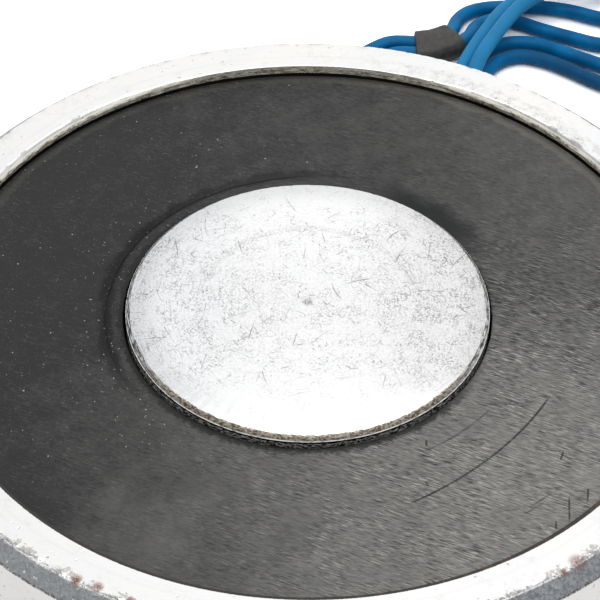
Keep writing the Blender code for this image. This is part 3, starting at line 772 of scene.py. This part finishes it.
def plate_steel():
    """Worn plated steel: bright rim, pitted outer edge, grey chamfer, brown inner wall and rust spots,
    with painted glints and painted shade.
    """
    look = Look("pot_steel", (0.79, 0.795, 0.8), 0.3, 1.0, 1.15)
    radius = look.radius
    x, y, z = look.parts(look.mm)
    depth = TOP - z
    grain = look.noise(5.5, 4, 0.65)
    speckle = look.noise(3.2, 4, 0.7)
    coarse = look.noise(1.1, 3, 0.55)
    rings = look.turned(9, 7.0, 0.4)
    near = y.step(8, -16)
    ragged = radius + (look.noise(1.5, 5, 0.7) - 0.5) * (0.35 + near * 1.9)
    chamfer = ragged.step(RIM_EDGE - 0.08, RIM_EDGE + 0.05) * depth.step(1.65, 1.45)
    wall = radius.step(WALL + 0.3, WALL + 0.18) * depth.step(0.03, 0.1)

    look.paint(look.noise(0.12, 2).step(0.3, 0.7), (0.83, 0.82, 0.8))
    # Painted shade: the rim is a little darker on the near side.
    look.paint(near * 0.6, (0.745, 0.745, 0.74))
    look.paint(rings.step(0.5, 0.72) * 0.12, (0.6, 0.61, 0.62))
    look.paint(radius.band(WALL + 1.5, 0.05, 0.2) * 0.08, (0.5, 0.5, 0.5))
    smudges = look.noise(0.8, 5, 0.7).step(0.53, 0.68) * grain.step(0.4, 0.6)
    look.paint(smudges * 0.4, (0.55, 0.54, 0.5))
    grime = look.noise(1.1, 5, 0.72).step(0.44, 0.6) * radius.band(WALL + 1, 0.6, 0.7)
    grime = grime * x.step(2, 16) * y.step(2, 10) * grain.step(0.35, 0.6)
    look.paint(grime * 0.6, (0.45, 0.45, 0.39))
    pits = look.cells(1.7).step(0.26, 0.12) * coarse.step(0.56, 0.66)
    look.paint(pits * 0.5, (0.28, 0.26, 0.24))

    grey = look.mix(speckle.step(0.35, 0.65), (0.22, 0.235, 0.255), (0.42, 0.44, 0.46))
    # Painted light: the chamfer is paler towards the left.
    grey = look.mix(x.step(0, -24) * 0.35, grey, (0.52, 0.53, 0.54))
    # Painted glints: bright grains on the chamfer, most on the left.
    chamfer_glints = look.cells(1.9).step(0.26, 0.14) * look.noise(0.9, 3).step(0.45, 0.6)
    chamfer_glints = chamfer_glints * x.step(10, -12, 0.35, 1.0)
    look.paint(chamfer, look.mix(chamfer_glints * 0.85, grey, (0.88, 0.89, 0.9)))
    # Painted glint: a broken bright line along the rim's outer edge on the near side.
    edge_glint = radius.band(RIM_EDGE + 0.05, 0.07, 0.09) * speckle.step(0.42, 0.5) * near
    look.paint(edge_glint, (0.95, 0.95, 0.94))
    eaten = look.noise(0.55, 5, 0.7).step(0.47, 0.62) * near * 0.75
    eaten = (ragged + eaten).step(RIM_EDGE - 0.1, RIM_EDGE + 0.1) * depth.step(0.1, 0.03)
    eaten = eaten * speckle.step(0.36, 0.5, 0.35, 1.0)
    look.paint(eaten * 0.75, (0.36, 0.34, 0.31))
    lower_edge = depth.band(1.48, 0.04, 0.14) * radius.step(SIDE - 0.4, SIDE - 0.2)
    lower_edge = lower_edge * look.noise(4.0, 3, 0.7).step(0.46, 0.56)
    look.paint(lower_edge * 0.9, (0.09, 0.07, 0.05))

    look.paint(wall, wall_colour(look, x, depth, grain, coarse))
    mouth = radius + (grain - 0.5) * 0.12 + x.step(8, 30, 0.0, -0.14)
    mouth = mouth.step(WALL + 0.36, WALL + 0.31) * depth.step(0.7, 0.6) * y.step(4, -8)
    brownish = coarse.step(0.5, 0.62) * x.step(-5, 5)
    look.paint(mouth * 0.95, look.mix(brownish, (0.012, 0.009, 0.007), (0.05, 0.025, 0.013)))

    spots = [look.spot((*at, TOP - 0.2), reach, reach + 0.35) * strength for at, reach, strength in RUST]
    specks = look.cells(0.23).step(0.12, 0.04) * radius.band(RIM_EDGE + 0.1, 0.4, 0.4)
    rust = most(*spots, specks * depth.step(1.6, 1.2)) * grain.step(0.3, 0.5)
    look.paint(rust * 0.85, (0.2, 0.075, 0.04))
    dull = most(rust, wall * 0.75, mouth, lower_edge, chamfer * 0.35)
    look.set("Metallic", 1 - dull)
    look.set("Roughness", 0.26 + grain * 0.16 + dull * 0.3)
    look.bump(rings, 0.005, 0.5)
    look.bump(grain, 0.02, 0.5)
    look.bump(speckle * chamfer, 0.1, 0.7)
    look.bump(1 - pits, 0.06, 0.8)
    return look


def wall_colour(look, x, depth, grain, coarse):
    """The inner wall's colour: brown streaks, a pale top from wear and painted highlight, and black low
    down as painted shade.
    """
    streaks = look.turned(34, 0.6, 6.5, 4, 0.75)
    colour = look.mix(streaks.step(0.38, 0.64), (0.12, 0.105, 0.078), (0.8, 0.77, 0.66))
    colour = look.mix(grain.step(0.56, 0.66) * 0.8, colour, (0.95, 0.93, 0.85))
    # Wear and painted highlight: the top of the wall is pale, most at the left and right.
    worn_and_lit_top = (depth - coarse * 0.35).step(0.32, 0.14) * (0.15 + abs(x).step(8, 20) * 0.8)
    colour = look.mix(worn_and_lit_top, colour, (0.88, 0.86, 0.76))
    # Painted shade: the wall turns black low down, towards the resin.
    shaded_foot = (depth - coarse * 0.15).step(0.8, 0.86)
    return look.mix(shaded_foot, colour, (0.012, 0.010, 0.008))


# Width of the worn zone on each side of the rim's outer edge, and how deep its dents go
EDGE_WEAR = 0.3 * MM
EDGE_DENT = 0.26 * MM

# Size of the rim's inner edge break, and how much wear adds to it at the far left and right
MOUTH_BREAK = 0.12 * MM
MOUTH_WEAR = 0.42 * MM


def worn_edges(radius, angle, z):
    """Dents the rim's outer edge a little, and wears down its inner edge at the far left and right."""
    if radius < CAVITY_RADIUS + 1.5 * MOUTH_BREAK and z > HEIGHT - 1.5 * MOUTH_BREAK:
        low = (HEIGHT - z) / MOUTH_BREAK
        at = heading(angle)
        to_side = smooth_step(abs(at.x) + 0.12 * perlin.noise(at * 14), 0.25, 0.6)
        wear = MOUTH_WEAR * to_side * smooth_step(at.y, 0.0, 0.3) * (1 + 0.3 * perlin.noise(at * 22))
        return radius + wear * (1 - low), z - wear * low
    off_edge = math.hypot(radius - (POT_RADIUS - RIM_CHAMFER), z - HEIGHT)
    if off_edge > 3 * EDGE_WEAR:
        return radius, z
    at = heading(angle) * POT_RADIUS / MM
    fine = perlin.noise(at * 1.9 + UP * (z / MM * 1.3))
    coarse = perlin.noise(at * 0.45)
    dent = max(0, fine * 0.75 + coarse * 0.35) * EDGE_DENT * math.exp(-((off_edge / EDGE_WEAR) ** 2))
    return radius - dent * 0.7, z - dent * 0.7


def make_pot(look):
    """The cup, with its hole for the leads."""
    bore = SPIGOT_RADIUS + FIT
    edge = (POT_RADIUS - RIM_CHAMFER, HEIGHT)
    mouth = ((-1.4, 0), (-1, 0), (-0.25, 0.25), (0, 1))
    profile = [
        (bore, 0.0),
        (POT_RADIUS - BACK_CHAMFER, 0.0),
        (POT_RADIUS, BACK_CHAMFER),
        *steps((POT_RADIUS, BACK_CHAMFER * 1.3), (POT_RADIUS, HEIGHT - RIM_CHAMFER * 1.2), 4),
        (POT_RADIUS, HEIGHT - RIM_CHAMFER * 1.08),
        *steps((POT_RADIUS - 0.03 * MM, HEIGHT - RIM_CHAMFER * 0.98), edge, 10),
        *steps((edge[0] - 0.02 * MM, HEIGHT), (edge[0] - 1.2 * MM, HEIGHT), 8),
        *corner(CAVITY_RADIUS, HEIGHT, MOUTH_BREAK, MOUTH_BREAK, *mouth),
        (CAVITY_RADIUS, BASE_THICKNESS),
        (bore, BASE_THICKNESS),
    ]
    pot = add_piece("pot", lathe(profile, POT_SEGMENTS, worn_edges), look, "housing_pot")
    bm = bmesh.new()
    hole = GROMMET_RADIUS + FIT
    sizes = {"radius1": hole, "radius2": hole, "depth": POT_RADIUS / 2}
    bmesh.ops.create_cone(bm, cap_ends=True, segments=HOLE_SIDES, **sizes)
    tool = new_object("hole_tool", bm)
    place = Matrix.Translation(exit_out * POT_RADIUS + UP * EXIT_Z)
    tool.matrix_world = place @ exit_out.to_track_quat("Z", "Y").to_matrix().to_4x4()
    cut = pot.modifiers.new("hole", "BOOLEAN")
    cut.operation = "DIFFERENCE"
    cut.solver = "EXACT"
    cut.object = tool
    bpy.context.view_layer.update()
    evaluated = pot.evaluated_get(bpy.context.evaluated_depsgraph_get())
    drilled = bpy.data.meshes.new_from_object(evaluated)
    pot.modifiers.clear()
    pot.data = drilled
    bpy.data.objects.remove(tool)


make_pot(plate_steel())


# Scratches on the pole: cells per millimetre, length, width, share of cells with one, bend, and shift
LONG_STROKES = (
    (0.34, 2.6, 0.07, 0.4, 0.25, (0, 0, 0)),
    (0.38, 2.0, 0.06, 0.3, 0.3, (7.3, 2.1, 0)),
    (0.3, 3.0, 0.06, 0.3, 0.15, (-4.7, 11.9, 0)),
)
SHORT_STROKES = (
    (1.1, 0.5, 0.06, 0.3, 0.8, (3.1, 5.7, 0)),
    (1.6, 0.3, 0.06, 0.35, 0.9, (13.7, -8.2, 0)),
    (0.8, 0.9, 0.05, 0.25, 0.6, (-9.4, -3.3, 0)),
)


def pole_steel():
    """Ground pole face: fine scratches every way, a faint ring, a centre mark, painted reflections (darker
    left and right, bluish on the left), and a near edge painted with its reflections and shade.
    """
    look = Look("pole_steel", (0.84, 0.845, 0.84), 0.26, 1.0, 1.1)
    radius = look.radius
    x, y, z = look.parts(look.mm)
    depth = TOP - z
    grain = look.noise(7.0, 4, 0.6)
    fine = look.noise(4.6, 5, 0.75)
    turning = look.turned(8, 5.5, 0, 3, 0.6)
    blotch = look.noise(0.45, 4, 0.65)
    # Painted reflection: the ground face's bow-tie sheen, darker to the left and right.
    beside = abs(x) - abs(y) * 0.9 + (look.noise(0.16, 3) - 0.5) * 14
    dim_sides = beside.step(-12, 11)
    look.paint(dim_sides, (0.79, 0.79, 0.79))
    look.paint(x.step(5, 15), (0.73, 0.73, 0.725))
    # Painted reflection: a bluish tint on the left.
    look.paint(x.step(-5, -14) * 0.55, (0.76, 0.78, 0.81))

    long_ones = most(*(look.strokes(*sizes) for sizes in LONG_STROKES))
    short_ones = most(*(look.strokes(*sizes) for sizes in SHORT_STROKES))
    # Painted reflection: marks fade towards the top and bottom, the bright ends of the sheen; the rest of
    # this is blotchy wear.
    bright_ends = most(y.step(-7, -13), y.step(10, 15) * 0.7)
    wear = (0.35 + blotch.step(0.4, 0.6) * 0.65) * (1 - bright_ends * 0.8)
    scratches = most(long_ones, short_ones * 0.9) * wear
    speckled = most(fine.step(0.48, 0.6) * 0.85, turning.step(0.54, 0.64) * 0.7)
    speckled = speckled * (0.52 + dim_sides * 0.6 + x.step(3, 13, 0.0, 0.35)) * wear
    look.paint(speckled * 0.85, (0.33, 0.33, 0.33))
    look.paint(scratches, (0.12, 0.12, 0.12))
    specks = look.cells(1.6).step(0.15, 0.07) * blotch.step(0.42, 0.6)
    look.paint(specks * 0.55, (0.3, 0.28, 0.25))
    halo = radius.band(10.3, 0.1, 0.5) * y.step(-4, 7, 0.15, 1.0) * fine.step(0.4, 0.6)
    look.paint(halo * 0.45, (0.42, 0.42, 0.41))
    centre = look.spot((0.0, 0.3, TOP), 0.2, 0.5) * grain.step(0.38, 0.52)
    look.paint(centre * 0.8, (0.24, 0.235, 0.22))

    near = (y + blotch * 4).step(-3, -10)
    ragged = radius + (look.noise(2.2, 4, 0.7) - 0.5) * 0.5 + near * 0.1
    edge = most(depth.step(0.03, 0.1), ragged.step(POLE_EDGE - 0.05, POLE_EDGE + 0.03))
    below = depth.step(0.44, 0.48)
    # Painted glint: a broken bright line where the chamfer meets the side.
    glint = depth.band(0.39, 0.03, 0.02) * look.turned(30, 5, 3, 4, 0.8).step(0.38, 0.5, 0.1, 1.0)
    streaks = look.turned(60, 6, 5, 4, 0.7).step(0.4, 0.6)
    # Painted reflection: the chamfer is dark brown on the near side, for the dark it reflects there, and
    # pale elsewhere.
    brown = look.mix(streaks, (0.11, 0.08, 0.06), (0.47, 0.43, 0.37))
    streaks = look.turned(14, 9, 9, 3, 0.7).step(0.46, 0.56)
    bright = look.mix(streaks, (0.1, 0.1, 0.1), (0.86, 0.87, 0.88))
    streaks = look.turned(42, 6, 8, 4, 0.75).step(0.48, 0.58)
    # Painted reflection: the side below the chamfer is dark and mottled.
    side = look.mix(streaks, (0.004, 0.004, 0.004), (0.5, 0.5, 0.48))
    edge_colour = look.mix(below, look.mix(near, bright, brown), side)
    edge_colour = look.mix(glint, edge_colour, (0.95, 0.95, 0.92))
    # Painted shade: a black line by the crevice.
    edge_colour = look.mix(depth.band(0.52, 0.07, 0.03), edge_colour, (0.002, 0.002, 0.002))
    look.paint(edge, edge_colour)
    look.set("Metallic", 1 - most(edge * near * 0.5, edge * below * 0.9, edge * glint))
    look.set("Roughness", 0.22 + grain * 0.14 + scratches * 0.1 + edge * 0.12)
    look.bump(1 - scratches, 0.012, 0.5)
    look.bump(grain, 0.006, 0.4)
    return look


def pole_edge(radius, angle, z):
    """Small nicks along the pole's edge."""
    if z < HEIGHT - POLE_CHAMFER * 1.5 or radius < POLE_RADIUS - POLE_CHAMFER * 1.7:
        return radius, z
    at = heading(angle) * POLE_RADIUS / MM
    fine = perlin.noise(at * 2.1 + UP * (z / MM))
    return radius, z - max(0, fine - 0.15) * 0.1 * MM


# Edge break of the spigot, and gap under the pole's shoulder
SPIGOT_BREAK = 0.1 * MM
SHOULDER_GAP = 0.1 * MM


def make_pole(look):
    """The pole, with its spigot and threaded hole."""
    shoulder = BASE_THICKNESS + SHOULDER_GAP
    mouth = SPIGOT_SETBACK + 0.8 * MM
    thread = []
    for i in range(int((TAP_DEPTH - mouth) / THREAD_PITCH)):
        z = mouth + THREAD_PITCH * i
        thread += [(TAP_RADIUS, z), (TAP_RADIUS + THREAD_DEPTH, z + THREAD_PITCH / 2)]
    edge = ((1.1, 0), (1, 0.05), (0.5, 0.5), (0.05, 1), (0, 1.1))
    profile = [
        (0, HEIGHT),
        *steps((POLE_RADIUS / 3, HEIGHT), (POLE_RADIUS - POLE_CHAMFER, HEIGHT), 3),
        *corner(POLE_RADIUS, HEIGHT, POLE_CHAMFER, POLE_CHAMFER, *edge),
        (POLE_RADIUS, HEIGHT - 2 * MM),
        (POLE_RADIUS, shoulder),
        (SPIGOT_RADIUS, shoulder),
        (SPIGOT_RADIUS, SPIGOT_SETBACK + SPIGOT_BREAK),
        (SPIGOT_RADIUS - SPIGOT_BREAK, SPIGOT_SETBACK),
        (TAP_RADIUS + 0.75 * MM, SPIGOT_SETBACK),
        *thread,
        (TAP_RADIUS, TAP_DEPTH),
        (0, TAP_DEPTH + 2 * MM),
    ]
    pole = lathe(profile, POLE_SEGMENTS, pole_edge, closed=False)
    add_piece("pole", pole, look, "pole_core")


make_pole(pole_steel())


# Resin and the bobbin's neck
def dusty_dark(name):
    """A dark dusty look: fine slanting streaks, and a paler tone towards the lower right, partly dust and
    partly painted sheen.

    Gives the look, and the soft variation in its tone.
    """
    look = Look(name, (0.017, 0.017, 0.0175), 0.45, ior=1.3)
    x, y, _ = look.parts(look.mm)
    radius = look.radius
    broad = look.noise(0.07, 3, 0.5) - 0.5
    middle = look.noise(0.45, 4, 0.6) - 0.5
    # Dust and painted sheen: the tone gets paler towards the lower right.
    across = (x + broad * 26).step(-26, 22)
    down = (y + broad * 20).step(14, -26, 0.15, 1.15)
    haze_and_sheen = across * down + x.step(8, 26) * 0.1
    haze_and_sheen = haze_and_sheen * 1.7 / (1.0 + haze_and_sheen * 0.75)
    streaks = look.streaks((0.75, 5.8, 1), -22, (3, 9, 0), 3, 0.7)
    hairs = look.streaks((0.8, 8.2, 1), -25, (13, 2, 0), 2, 0.6)
    flat_hairs = look.streaks((1.1, 7.5, 1), -6, (1, 17, 0), 2, 0.6)
    patchy = look.noise(0.3, 4, 0.65).step(0.36, 0.62)
    pale = hairs.step(0.56, 0.7) * patchy
    deep = most(streaks.step(0.42, 0.26), flat_hairs.step(0.42, 0.26) * (1 - patchy))
    lines = streaks * 0.4 + flat_hairs * 0.3 + hairs * 0.3 - 0.5
    lines = lines + pale * 0.2 - deep * 0.035 - 0.025
    grit = look.noise(3.2, 3, 0.7) - 0.5
    busy = x.step(-18, 20) * (1.0 + down * 0.5) * y.step(16, 2, 0.12, 1.0)
    level = haze_and_sheen + lines * (0.2 + busy) * (2.4 + patchy * 1.8)
    level = level + middle * (0.3 + haze_and_sheen * 0.4) + grit * 0.34
    look.paint(level * 0.5, (0.335, 0.33, 0.312))

    angle = look.azimuth(148)
    wobble = radius + middle * 2.0
    # Painted shade: a dark line along the groove by the neck, mostly at the back and left.
    groove = wobble.band(NECK + 0.05, 0.3, 0.6) * angle.band(0, 46, 30)
    look.paint(groove * 0.85, (0.003, 0.003, 0.003))
    dark_patch = wobble.step(NECK + 1.7, NECK - 0.7) * look.azimuth(48).band(0, 8, 20)
    look.paint(dark_patch * 0.92, (0.003, 0.004, 0.005))
    by_groove = radius.band(NECK + 1, 1.0, 2.5) * angle.band(35, 40, 25)
    clusters = look.noise(1.3, 4, 0.75)
    dots = look.cells(2.1).step(0.18, 0.08)
    left = x.step(4, -10)
    dust = most(
        dots * by_groove * clusters.step(0.47, 0.57),
        dots * left * clusters.step(0.55, 0.63) * 0.8,
        look.cells(3.6).step(0.16, 0.07) * left * clusters.step(0.46, 0.56) * 0.4,
        look.cells(0.55).step(0.055, 0.03) * x.step(14, -6) * clusters.step(0.42, 0.5),
    )
    dust = dust * y.step(-24, -16)
    look.paint(dust * 0.8, (0.5, 0.49, 0.46))
    look.set("Roughness", 0.46 + lines * 0.3 + middle * 0.1 + dust * 0.2)
    look.bump(lines, 0.02, 0.5)
    return look, middle


# Scratches in the resin, in millimetres: arcs, by centre, radius, two angles, width and strength
ARCS = (
    ((-7.27, 5.8), 33.56, -62, -29, 0.13, 1.0),
    ((-0.09, 0.77), 21.13, -60, -38, 0.13, 0.6),
)
# Short marks, by both ends, width and strength
TICKS = (
    ((10.56, -16.2), (10.6, -17.0), 0.12, 1.0),
    ((10.4, -21.0), (10.6, -21.6), 0.14, 1.0),
    ((22.75, -17.3), (22.4, -18.4), 0.11, 1.0),
    ((22.9, -22.4), (22.7, -25.6), 0.1, 1.0),
    ((24.65, -21.5), (24.4, -23.4), 0.1, 1.0),
    ((21.55, -25.3), (21.5, -26.4), 0.12, 1.0),
    ((21.5, -22.1), (19.3, -24.0), 0.12, 0.6),
    ((20.8, -23.2), (18.7, -24.8), 0.12, 0.6),
)


def resin_look():
    """Dark poured resin: streaks, dust, thin scratches, painted shade by the wall, and a dark patch upper
    right of the pole.
    """
    look, middle = dusty_dark("resin")
    x, y, _ = look.parts(look.mm)
    radius = look.radius
    # Painted shade: darker near the wall on the near side.
    wall_shade = (radius + middle * 2.5).step(WALL - 0.9, WALL) * y.step(8, -8)
    look.paint(wall_shade * 0.4, (0.022, 0.018, 0.014))
    far_wall = (radius + middle * 1.25).band(WALL - 1, 0.1, 0.5) * y.step(4, 14)
    look.paint(far_wall * x.step(-12, 22, 0.1, 0.3), (0.17, 0.165, 0.14))
    arcs = [look.arc(*sizes) * strength for *sizes, strength in ARCS]
    ticks = [look.tick(*sizes) * strength for *sizes, strength in TICKS]
    marks = most(*arcs, *ticks)
    uneven = look.noise(1.2, 3, 0.6).step(0.3, 0.55, 0.4, 1.0)
    look.paint(marks * uneven * 0.85, (0.008, 0.008, 0.008))
    look.bump(middle, 0.05, 0.3)
    look.bump(1 - marks, 0.04, 0.8)
    return look


def groove_depth(angle):
    """How deep the groove between resin and neck is at this angle: most at the back and left."""
    degrees = math.degrees(angle) % 360
    full = smooth_step(degrees, 70, 110) * (1 - smooth_step(degrees, 185, 225))
    return (0.03 + 0.85 * full) * (1 + 0.3 * perlin.noise(heading(angle) * 9))


# The groove between resin and neck
GROOVE_WIDTH = 0.95 * MM
GROOVE_DEPTH = 0.38 * MM

# The dark faces' slow waves, and a shallow dip right of the pole, in millimetres
WAVE_HEIGHT = 0.05
DIP = Vector((13.6, 12.9))
DIP_REACH = Vector((4.2, 3.0))
DIP_DEPTH = 0.14


def wavy(radius, angle):
    """How far the dark faces stand above their packed height here."""
    x = radius * math.cos(angle) / MM
    y = radius * math.sin(angle) / MM
    wave = perlin.noise(Vector((x * 0.09, y * 0.09, 3.1))) * WAVE_HEIGHT
    wave += perlin.noise(Vector((x * 0.35, y * 0.35, 8.2))) * WAVE_HEIGHT / 4
    dip = DIP_DEPTH * math.exp(-(((x - DIP.x) / DIP_REACH.x) ** 2 + ((y - DIP.y) / DIP_REACH.y) ** 2))
    return (wave - dip) * MM


def resin_surface(radius, angle, z):
    """The resin's waves, and its edge by the groove."""
    if z < RESIN_TOP - RING_DEPTH / 2:
        return radius, z
    if radius < NECK_RADIUS + GROOVE_WIDTH:
        z = RESIN_TOP - (RESIN_TOP - z) * groove_depth(angle)
    fade = smooth_step(radius, CAVITY_RADIUS - 0.5 * MM, CAVITY_RADIUS - 1.8 * MM)
    return radius, z + wavy(radius, angle) * fade


def make_resin(look):
    """The visible ring of resin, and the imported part's skirt below it."""
    inner = NECK_RADIUS + 0.01 * MM
    outer = CAVITY_RADIUS - 0.07 * MM
    under = RESIN_TOP - RING_DEPTH
    low = RESIN_TOP - RESIN_DISH
    profile = [
        *corner(inner, RESIN_TOP, MM, GROOVE_DEPTH, (0, 1), (-0.15, 0.85), (-0.35, 0.5), (-0.6, 0.18)),
        *steps((inner + GROOVE_WIDTH, RESIN_TOP), (outer - 1.2 * MM, low), RESIN_RINGS),
        *corner(outer, low, MM, MM, (0.9, 0), (0.5, 0.01), (0.25, 0.03), (0.1, 0.08), (0, 0.22)),
        (outer, under),
        (inner, under),
    ]
    add_piece("resin_ring", lathe(profile, RESIN_SEGMENTS, resin_surface), look, "potting_resin")
    skirt = packed_below("potting_resin", under - CUT_GAP)
    add_piece("resin_skirt", skirt, look, "potting_resin")


make_resin(resin_look())


def neck_look():
    """Moulded plastic under the same dust and painted sheen as the resin, darker by the pole."""
    look, _ = dusty_dark("bobbin_plastic")
    x, y, _ = look.parts(look.mm)
    mottled = look.noise(1.6, 4, 0.65)
    ragged = look.radius + (mottled - 0.5) * 1.6
    dark_by_pole = y.step(-6, -14) * ragged.step(NECK - 0.7, NECK - 1.4)
    dark_by_pole = most(dark_by_pole, x.step(-8, -14) * ragged.step(NECK - 1.1, NECK - 1.4))
    look.paint(dark_by_pole * 0.85, (0.005, 0.005, 0.004))
    look.bump(mottled * dark_by_pole, 0.05, 0.5)
    return look


# Gap between the pole and the lip of the neck, and how uneven the lip is
LIP_GAP = 0.22 * MM
LIP_UNEVEN = 0.05 * MM


def neck_edge(radius, angle, z):
    """The neck's waves, its uneven lip by the pole, and its edge by the groove."""
    if z < RESIN_TOP - 0.6 * MM:
        return radius, z
    if radius > NECK_RADIUS - 0.65 * MM:
        z = RESIN_TOP - (RESIN_TOP - z) * groove_depth(angle)
    at = heading(angle) * POLE_RADIUS / MM
    fine = perlin.noise(at * 1.3)
    by_lip = 1 - smooth_step(radius, POLE_RADIUS + LIP_GAP, NECK_BORE + 0.4 * MM)
    uneven = by_lip * LIP_UNEVEN * fine
    return radius + uneven, z + wavy(radius, angle) + uneven * 0.8


def make_neck(look):
    """The bobbin's neck, level with the resin, and the rest of the bobbin as it is packed."""
    low = RESIN_TOP - 2 * MM
    add_piece("bobbin_body", packed_below("coil_bobbin", low), look, "coil_bobbin")
    under = low + CUT_GAP
    lip = POLE_RADIUS + LIP_GAP
    by_groove = ((0.6, 0.05), (0.4, 0.25), (0.2, 0.6), (0.06, 0.9), (0, 1))
    profile = [
        (NECK_BORE, under),
        (NECK_BORE, RESIN_TOP - 0.5 * MM),
        *corner(lip, RESIN_TOP, MM, MM, (0, 0.25), (0, 0.1), (-0.04, 0.04), (-0.12, 0)),
        *steps((NECK_BORE + 0.2 * MM, RESIN_TOP), (NECK_RADIUS - 0.7 * MM, RESIN_TOP), 4),
        *corner(NECK_RADIUS, RESIN_TOP, MM, GROOVE_DEPTH, *by_groove),
        (NECK_RADIUS, under),
    ]
    neck = lathe(profile, POLE_SEGMENTS, neck_edge)
    add_piece("bobbin_neck", neck, look, "coil_bobbin")


make_neck(neck_look())


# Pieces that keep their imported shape
def dress(look, *names):
    """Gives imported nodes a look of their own."""
    for name in names:
        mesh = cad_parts[name].data
        mesh.materials.clear()
        mesh.materials.append(look.material)


def dress_inner_pieces():
    """Looks of the winding and all that goes with it, and of the bush."""
    copper = Look("copper", (0.50, 0.19, 0.08), 0.3, 1.0)
    turns = copper.noise(3.0, 2, source=copper.along((0.3, 0.3, 6.0)))
    copper.paint(turns, (0.68, 0.31, 0.14))
    copper.bump(turns, 0.06, 0.6)
    dress(copper, "coil_winding", "coil_tail_a", "coil_tail_b")

    tape = Look("coil_tape", (0.52, 0.37, 0.09), 0.4)
    weave = tape.noise(2.0, 3, source=tape.along((0.5, 0.5, 3.0)))
    tape.paint(weave, (0.68, 0.52, 0.16))
    tape.bump(weave, 0.03, 0.5)
    dress(tape, "winding_tape")

    rubber = Look("bush_rubber", (0.012, 0.012, 0.012), 0.6)
    rubber.paint(rubber.noise(1.5, 4, 0.6).step(0.4, 0.8), (0.05, 0.048, 0.045))
    rubber.bump(rubber.noise(5.0, 3), 0.03, 0.5)
    dress(rubber, "exit_grommet")

    shrink = Look("splice_sleeve", (0.015, 0.015, 0.015), 0.4)
    wrinkle = shrink.noise(1.4, 3)
    shrink.set("Roughness", 0.32 + wrinkle * 0.2)
    shrink.bump(wrinkle, 0.08, 0.5)
    dress(shrink, "splice_sleeve_a", "splice_sleeve_b")

    solder = Look("solder", (0.60, 0.60, 0.58), 0.3, 1.0)
    lumps = solder.noise(1.8, 3)
    solder.set("Roughness", 0.2 + lumps * 0.3)
    solder.bump(lumps, 0.1, 0.6)
    dress(solder, "solder_joint_a", "solder_joint_b")

    braid = Look("tail_sleeve", (0.80, 0.77, 0.68), 0.7)
    threads = braid.cells(2.6)
    braid.paint(threads, (0.60, 0.56, 0.46))
    braid.bump(threads, 0.05, 0.6)
    dress(braid, "tail_sleeve_a", "tail_sleeve_b")


dress_inner_pieces()


# Light and floor
def area_light(name, place, aim, size, power):
    """A soft square lamp."""
    data = bpy.data.lights.new(name, "AREA")
    data.size = size
    data.energy = power
    lamp = bpy.data.objects.new(name, data)
    scene.collection.objects.link(lamp)
    lamp.location = place
    lamp.rotation_euler = (Vector(aim) - Vector(place)).to_track_quat("-Z", "Y").to_euler()


def make_world():
    """Soft sky: bright behind and above, dimmer on the camera's side, and white to the camera."""
    world = bpy.data.worlds.new("world")
    scene.world = world
    world.use_nodes = True
    world.node_tree.nodes.clear()
    graph = Graph(world.node_tree)
    x, y, _ = graph.parts(graph.add("TexCoord", {}, "Generated"))
    strength = y.step(-0.35, 0.55, 0.26, 0.95) * x.step(-0.4, 0.3, 0.92, 1.08)
    sky = graph.add("Background", {"Color": (0.985, 0.985, 0.99), "Strength": strength})
    white = graph.add("Background", {"Color": (1, 1, 1)})
    seen = graph.add("LightPath", {}, "Is Camera Ray")
    output = graph.tree.nodes.new("ShaderNodeOutputWorld")
    graph.feed(output.inputs["Surface"], graph.add("MixShader", {0: seen, 1: sky, 2: white}))


FLOOR_DROP = 0.05 * MM


def make_floor():
    """A wide white floor, brighter to the camera than to other surfaces."""
    bm = bmesh.new()
    bmesh.ops.create_grid(bm, x_segments=1, y_segments=1, size=3)
    floor = new_object("floor", bm)
    floor.location.z = -FLOOR_DROP
    look = Look("floor", (0.9, 0.89, 0.88), 0.7)
    look.paint(look.add("LightPath", {}, "Is Camera Ray"), (1.5, 1.5, 1.5))
    floor.data.materials.append(look.material)


make_world()
make_floor()
area_light("back_box", (0.02, 0.50, 0.52), (0, 0, 0.03), 0.4, 0.14)
area_light("top_box", (0.02, -0.08, 0.55), (0, 0, 0.03), 0.5, 2.2)
